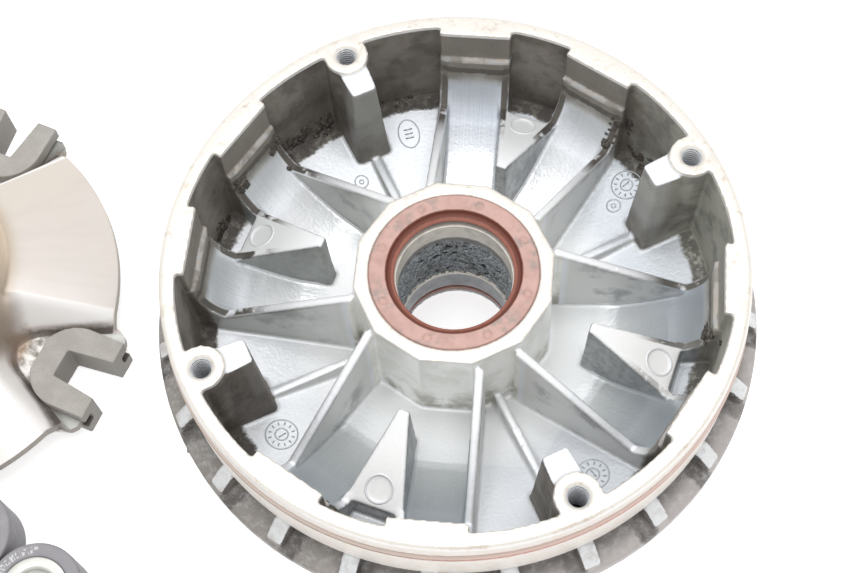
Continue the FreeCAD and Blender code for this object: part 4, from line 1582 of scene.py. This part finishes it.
@dataclass
class RampPlate:
    """The pressed ramp plate: hat, four sloping sectors that roll down into valleys, and flat tabs."""

    bearing: float = 61.9
    sector_r: float = 60.9
    edge_z: float = 12.0
    slope: float = 0.466
    hat_base_r: float = 33.4
    hat_top_r: float = 29.6
    hat_crease: float = 1.2
    hat_round: float = 2.2
    spline_r: float = 11.6
    spline_depth: float = 0.9
    spline_teeth: int = 20
    thickness: float = 2.8
    tab_top: float = 7.45
    tab_tip: float = 63.4
    tab_half: float = 15.6
    tab_corner: float = 3.0
    valley_start: float = 34.5
    valley_half: float = 5.0
    valley_spread: float = 0.428
    valley_round: float = 6.0
    bend: float = 4.9
    climb_power: float = 0.9
    foot_round: float = 2.4
    notch_back: float = 47.35
    notch_half: float = 8.95
    notch_heel: float = 4.8
    notch_shoulder: float = 54.6
    notch_bulge: float = 1.11
    rings: tuple[int, int, int] = (14, 38, 24)
    fine_rings: Point2 = (28.0, 41.0)
    columns: tuple[int, int, int] = (10, 44, 24)
    probe: float = 0.05
    cutter_past: tuple[float, float, float] = (6.0, 2.0, 1.2)
    hat_top: float = field(init=False)
    centre: Point2 = field(init=False)

    def __post_init__(self) -> None:
        """Read the plate's place and height from its CAD node."""
        self.hat_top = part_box("ramp_plate")[1].z / MM
        self.centre = centre_of("ramp_plate")

    def skin(self, r: float) -> float:
        """Height of the hat and cone.

        Args:
            r: Radius from the plate's axis.

        Returns:
            The height above the bench.
        """
        cone = self.edge_z + (self.sector_r - r) * self.slope
        base = self.edge_z + (self.sector_r - self.hat_base_r) * self.slope
        steep = (self.hat_top - base) / (self.hat_base_r - self.hat_top_r)
        wall = base + (self.hat_base_r - r) * steep
        return eased_min(self.hat_top, -eased_min(-cone, -wall, self.hat_crease), self.hat_round)

    def height(self, x: float, y: float) -> float:
        """Height of the upper skin.

        Args:
            x: Place along the nearest tab, from the plate's axis.
            y: Place across it.

        Returns:
            The height above the bench.
        """
        beside = abs(y) - self.valley_half - (x - self.valley_start) * self.valley_spread
        beside /= math.hypot(1.0, self.valley_spread)
        behind = self.valley_start - x
        into_valley = eased_min(-beside, -behind, self.valley_round)
        outside = -eased_min(self.foot_round / 8 + into_valley, 0.0, self.foot_round)
        share = min(1.0, max(0.0, outside / self.bend))
        climb = (1 - (1 - share) ** 2) ** self.climb_power
        return self.tab_top + (self.skin(math.hypot(x, y)) - self.tab_top) * climb

    def column(self, number: int, r: float) -> float:
        """Angle of one of the sheet's radial lines of points.

        Args:
            number: The line's number, counted from the nearest tab's middle.
            r: Radius at which the angle is wanted.

        Returns:
            The angle: even near the hole, close together across the bends further out.
        """
        flat, bent, rest = self.columns
        even = math.pi / 4 * number / (flat + bent + rest)
        far = max(r, self.valley_start + 0.7)
        lean = math.atan(self.valley_spread)
        rise = (self.valley_half - self.valley_start * self.valley_spread) * math.cos(lean)
        foot = lean + math.asin(rise / far) - self.foot_round / 2 / far
        crest = foot + (self.bend + self.foot_round / 2 + 0.8) / far
        if number <= flat:
            close = foot * number / flat
        elif number <= flat + bent:
            close = foot + (crest - foot) * (number - flat) / bent
        else:
            close = crest + (math.pi / 4 - crest) * (number - flat - bent) / rest
        share = min(1.0, max(0.0, (r - self.spline_r - 2.0) / 18.0))
        return even + (close - even) * share

    def ring(self, number: int, inner: float, outer: float) -> float:
        """Radius of one of the sheet's rings of points, closest together round the hat's foot.

        Args:
            number: The ring's number, from 0 at the hole.
            inner: Radius of the hole.
            outer: Radius of the sheet's edge.

        Returns:
            The radius.
        """
        hub, foot, _ = self.rings
        start, end = self.fine_rings
        if number <= hub:
            return inner + (start - inner) * number / hub
        if number <= hub + foot:
            return start + (end - start) * (number - hub) / foot
        return end + (outer - end) * (number - hub - foot) / self.rings[2]

    def reach(self, angle: float) -> float:
        """Outer radius of the sheet.

        Args:
            angle: Angle from the nearest tab's middle.

        Returns:
            The radius.
        """
        cos, sin = math.cos(angle), abs(math.sin(angle))
        flat = self.tab_tip / cos
        side = self.tab_half / max(sin, 1e-6)
        along, across = self.tab_tip - self.tab_corner, self.tab_half - self.tab_corner
        if flat * sin > across and side * cos > along:
            middle = along * cos + across * sin
            gap = along * along + across * across - self.tab_corner ** 2
            return max(self.sector_r, middle + math.sqrt(max(0.0, middle * middle - gap)))
        return max(self.sector_r, min(flat, side))

    def sheet(self) -> Object:
        """Make the plate's sheet as one closed solid.

        Returns:
            The sheet, round the Z axis and with a tab along +X.
        """
        upper: list[Vector] = []
        lower: list[Vector] = []
        tooth = math.pi / self.spline_teeth
        rows = sum(self.rings) + 1
        eighth = sum(self.columns)
        steps = 8 * eighth
        step = self.probe
        for k in range(steps):
            number = (k + eighth) % (2 * eighth) - eighth
            quarter = math.pi / 2 * ((k + eighth) // (2 * eighth))
            sign = -1.0 if number < 0 else 1.0
            phase = (2 * math.pi * k / steps + tooth / 2) % (2 * tooth) / tooth
            inner = self.spline_r + (self.spline_depth if phase < 1.0 else 0.0)
            outer = self.reach(self.column(abs(number), self.sector_r))
            spin = Matrix.Rotation(quarter, 3, "Z")
            for j in range(rows):
                r = self.ring(j, inner, outer)
                local = sign * self.column(abs(number), min(r, self.sector_r))
                x, y = r * math.cos(local), r * math.sin(local)
                here = self.height(x, y)
                normal = Vector(((here - self.height(x + step, y)) / step,
                                 (here - self.height(x, y + step)) / step, 1.0)).normalized()
                point = Vector((x, y, here))
                upper.append(spin @ point)
                if j == rows - 1:
                    normal = Vector((0.0, 0.0, 1.0))
                lower.append(spin @ (point - normal * self.thickness))
        count = len(upper)
        faces = []
        for k in range(steps):
            here, there = k * rows, (k + 1) % steps * rows
            for j in range(rows - 1):
                faces.append((here + j, here + j + 1, there + j + 1, there + j))
                faces.append((count + here + j, count + there + j, count + there + j + 1,
                              count + here + j + 1))
            faces.append((here, there, count + there, count + here))
            last = rows - 1
            faces.append((here + last, count + here + last, count + there + last, there + last))
        return mesh_piece("ramp_plate_pressing", upper + lower, faces)

    def notches(self) -> Object:
        """Make the cutter for the four notches that hold the slide pieces.

        Returns:
            The cutter, round the Z axis and with a notch towards +X.
        """
        back, shoulder, heel, half = self.notch_back, self.notch_shoulder, self.notch_heel, self.notch_half
        length = math.hypot(shoulder - back, half - heel)
        over = Vector(((back + shoulder) / 2 - 2 * self.notch_bulge * (half - heel) / length,
                       (heel + half) / 2 + 2 * self.notch_bulge * (shoulder - back) / length))
        side = bend_through(Vector((back, heel)), over, Vector((shoulder, half)), 8)
        past_tip, below, above = self.cutter_past
        side.append((self.tab_tip + past_tip, half))
        outline = side + [(x, -y) for x, y in reversed(side)]
        points: list[Vector] = []
        faces: list[tuple[int, ...]] = []
        for k in range(4):
            spin = Matrix.Rotation(math.pi / 2 * k, 3, "Z")
            base, count = len(points), len(outline)
            for z in (-below, self.tab_top + above):
                points.extend(spin @ Vector((x, y, z)) for x, y in outline)
            faces.append(tuple(base + n for n in range(count)))
            faces.append(tuple(base + count + n for n in range(count)))
            faces.extend((base + n, base + (n + 1) % count, base + count + (n + 1) % count, base + count + n)
                         for n in range(count))
        return mesh_piece("notch_cutter", points, faces, False)

    def build(self) -> None:
        """Make the plate and stand it in its place."""
        piece = self.sheet()
        cutter = self.notches()
        cut = piece.modifiers.new("notches", "BOOLEAN")
        cut.operation = "DIFFERENCE"
        cut.solver = "EXACT"
        cut.object = cutter
        apply_modifiers(piece)
        bpy.data.objects.remove(cutter)
        place = (Matrix.Translation(Vector((*self.centre, 0.0)) * MM)
                 @ Matrix.Rotation(math.radians(self.bearing), 4, "Z"))
        piece.data.transform(place)
        shade_by_angle(piece, 40.0)
        dressed(piece, PlateSteel().material(self.centre, self.hat_base_r), "plate_steel", "ramp_plate",
                "ramp_plate")


@dataclass
class SlidePieces:
    """The four slide pieces on the plate's tabs."""

    count: int = 4
    voxel: float = 0.3
    most_faces: int = 24000

    def build(self) -> None:
        """Build each slide piece from its CAD solid with small moulded edges."""
        material = MouldedPlastic().material()
        for number in range(1, self.count + 1):
            node = f"slide_piece_{number}"
            piece = softened_copy(f"slide_moulding_{number}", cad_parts[node], self.voxel, 3,
                                  self.most_faces)
            dressed(piece, material, "slide_plastic", node, node)


@dataclass
class Rollers:
    """The eight rollers: nylon sleeves on metal cores."""

    count: int = 8
    sleeve_edge: float = 1.0
    core_r: float = 8.8
    core_bore_r: float = 5.5

    def sleeve(self, number: int) -> None:
        """Make one sleeve.

        Args:
            number: The roller's number.
        """
        node = f"roller_{number}_sleeve"
        centre = centre_of(node)
        low, high = (corner.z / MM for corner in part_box(node))
        outer = (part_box(node)[1].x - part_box(node)[0].x) / 2 / MM
        profile = rounded([(self.core_r, low), (outer, low), (outer, high), (self.core_r, high)],
                          self.sleeve_edge, 6)
        dressed(lathe(f"roller_sleeve_{number}", divided(profile, 1.2), 128, centre),
                RollerNylon().material(centre, number), "roller_nylon", f"roller_{number}", node)

    def core(self, number: int) -> None:
        """Make one core.

        Args:
            number: The roller's number.
        """
        node = f"roller_{number}_core"
        centre = centre_of(node)
        low, high = (corner.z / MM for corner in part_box(node))
        bore, rim = self.core_bore_r, self.core_r
        profile = rounded([(bore, low + 0.7), (bore + 0.7, low), (rim, low), (rim, high), (bore + 0.7, high),
                           (bore, high - 0.7)], 0.3, 3)
        dressed(lathe(f"roller_core_{number}", divided(profile, 1.0), 96, centre),
                Ring.CORE.value.material(centre), "roller_metal", f"roller_{number}", node)

    def build(self) -> None:
        """Build every roller."""
        for number in range(1, self.count + 1):
            self.sleeve(number)
            self.core(number)


# ---- bench, light and camera -------------------------------------------------------------------------

@dataclass
class Studio:
    """White bench, soft light and the camera. The lamp is laid out in metres, angles are in radians."""

    floor_half: float = 3000.0
    floor_z: float = -0.05
    world_fill: float = 0.8
    key_watts: float = 4.4
    key_size: float = 0.6
    key_place: tuple[float, float, float] = (-0.02, 0.04, 1.05)
    key_aim: tuple[float, float, float] = (-0.04, 0.0, 0.03)
    camera_place: tuple[float, float, float] = (-6.42, -156.74, 368.44)
    camera_dip: float = 1.1289
    camera_roll: float = -0.0824
    camera_reach: Point2 = (10.0, 20000.0)
    sensor: float = 36.0
    focal_over_width: float = 1405.8 / 860.0

    def floor(self) -> None:
        """Lay the bench under the object."""
        half, z = self.floor_half, self.floor_z
        corners = [(-half, -half, z), (half, -half, z), (half, half, z), (-half, half, z)]
        piece = mesh_piece("bench", corners, [(0, 1, 2, 3)], False)
        piece.data.materials.append(BenchFinish().material())

    def world(self) -> None:
        """White surroundings: full strength where they are seen or mirrored, dimmer as light."""
        world = bpy.data.worlds.new("studio")
        world.use_nodes = True
        bpy.context.scene.world = world
        kit = NodeKit(world.node_tree)
        strength = kit.seen().math("MULTIPLY_ADD", 1.0 - self.world_fill, self.world_fill)
        background = kit.node("ShaderNodeBackground", {}, {"Color": WHITE, "Strength": strength})
        kit.node("ShaderNodeOutputWorld", {}, {"Surface": background.outputs[0]})

    def lamp(self) -> None:
        """Hang one large soft lamp over the bench."""
        light = bpy.data.lights.new("key", "AREA")
        light.shape = "SQUARE"
        light.size = self.key_size
        light.energy = self.key_watts
        lamp = bpy.data.objects.new("key", light)
        lamp.location = self.key_place
        aim = Vector(self.key_aim) - Vector(self.key_place)
        lamp.rotation_euler = aim.to_track_quat("-Z", "Y").to_euler()
        bpy.context.scene.collection.objects.link(lamp)

    def camera(self) -> None:
        """Place the camera above the near side, looking steeply down."""
        ahead = Vector((0.0, math.cos(self.camera_dip), -math.sin(self.camera_dip)))
        level = Vector((1.0, 0.0, 0.0))
        upright = level.cross(ahead)
        turn_cos, turn_sin = math.cos(self.camera_roll), math.sin(self.camera_roll)
        right = level * turn_cos + upright * turn_sin
        up = upright * turn_cos - level * turn_sin
        camera = bpy.data.cameras.new("camera")
        camera.sensor_width = self.sensor
        camera.lens = self.focal_over_width * self.sensor
        camera.clip_start, camera.clip_end = (reach * MM for reach in self.camera_reach)
        mount = bpy.data.objects.new("camera", camera)
        matrix = Matrix((right, up, -ahead)).transposed().to_4x4()
        matrix.translation = Vector(self.camera_place) * MM
        mount.matrix_world = matrix
        bpy.context.scene.collection.objects.link(mount)
        bpy.context.scene.camera = mount

    def build(self) -> None:
        """Build the studio."""
        bpy.context.scene.view_settings.view_transform = "Standard"
        self.camera()
        self.world()
        self.lamp()
        self.floor()


def main() -> None:
    """Build the studio and every sub-assembly, then note the sizes."""
    logging.basicConfig(level=logging.INFO, format="%(name)s: %(message)s")
    Studio().build()
    for assembly in (Sheave(), HubInserts(), WallCrust(), RampPlate(), SlidePieces(), Rollers()):
        assembly.build()
        LOG.info("%s is in place", type(assembly).__name__)


if __name__ == "__main__":
    main()
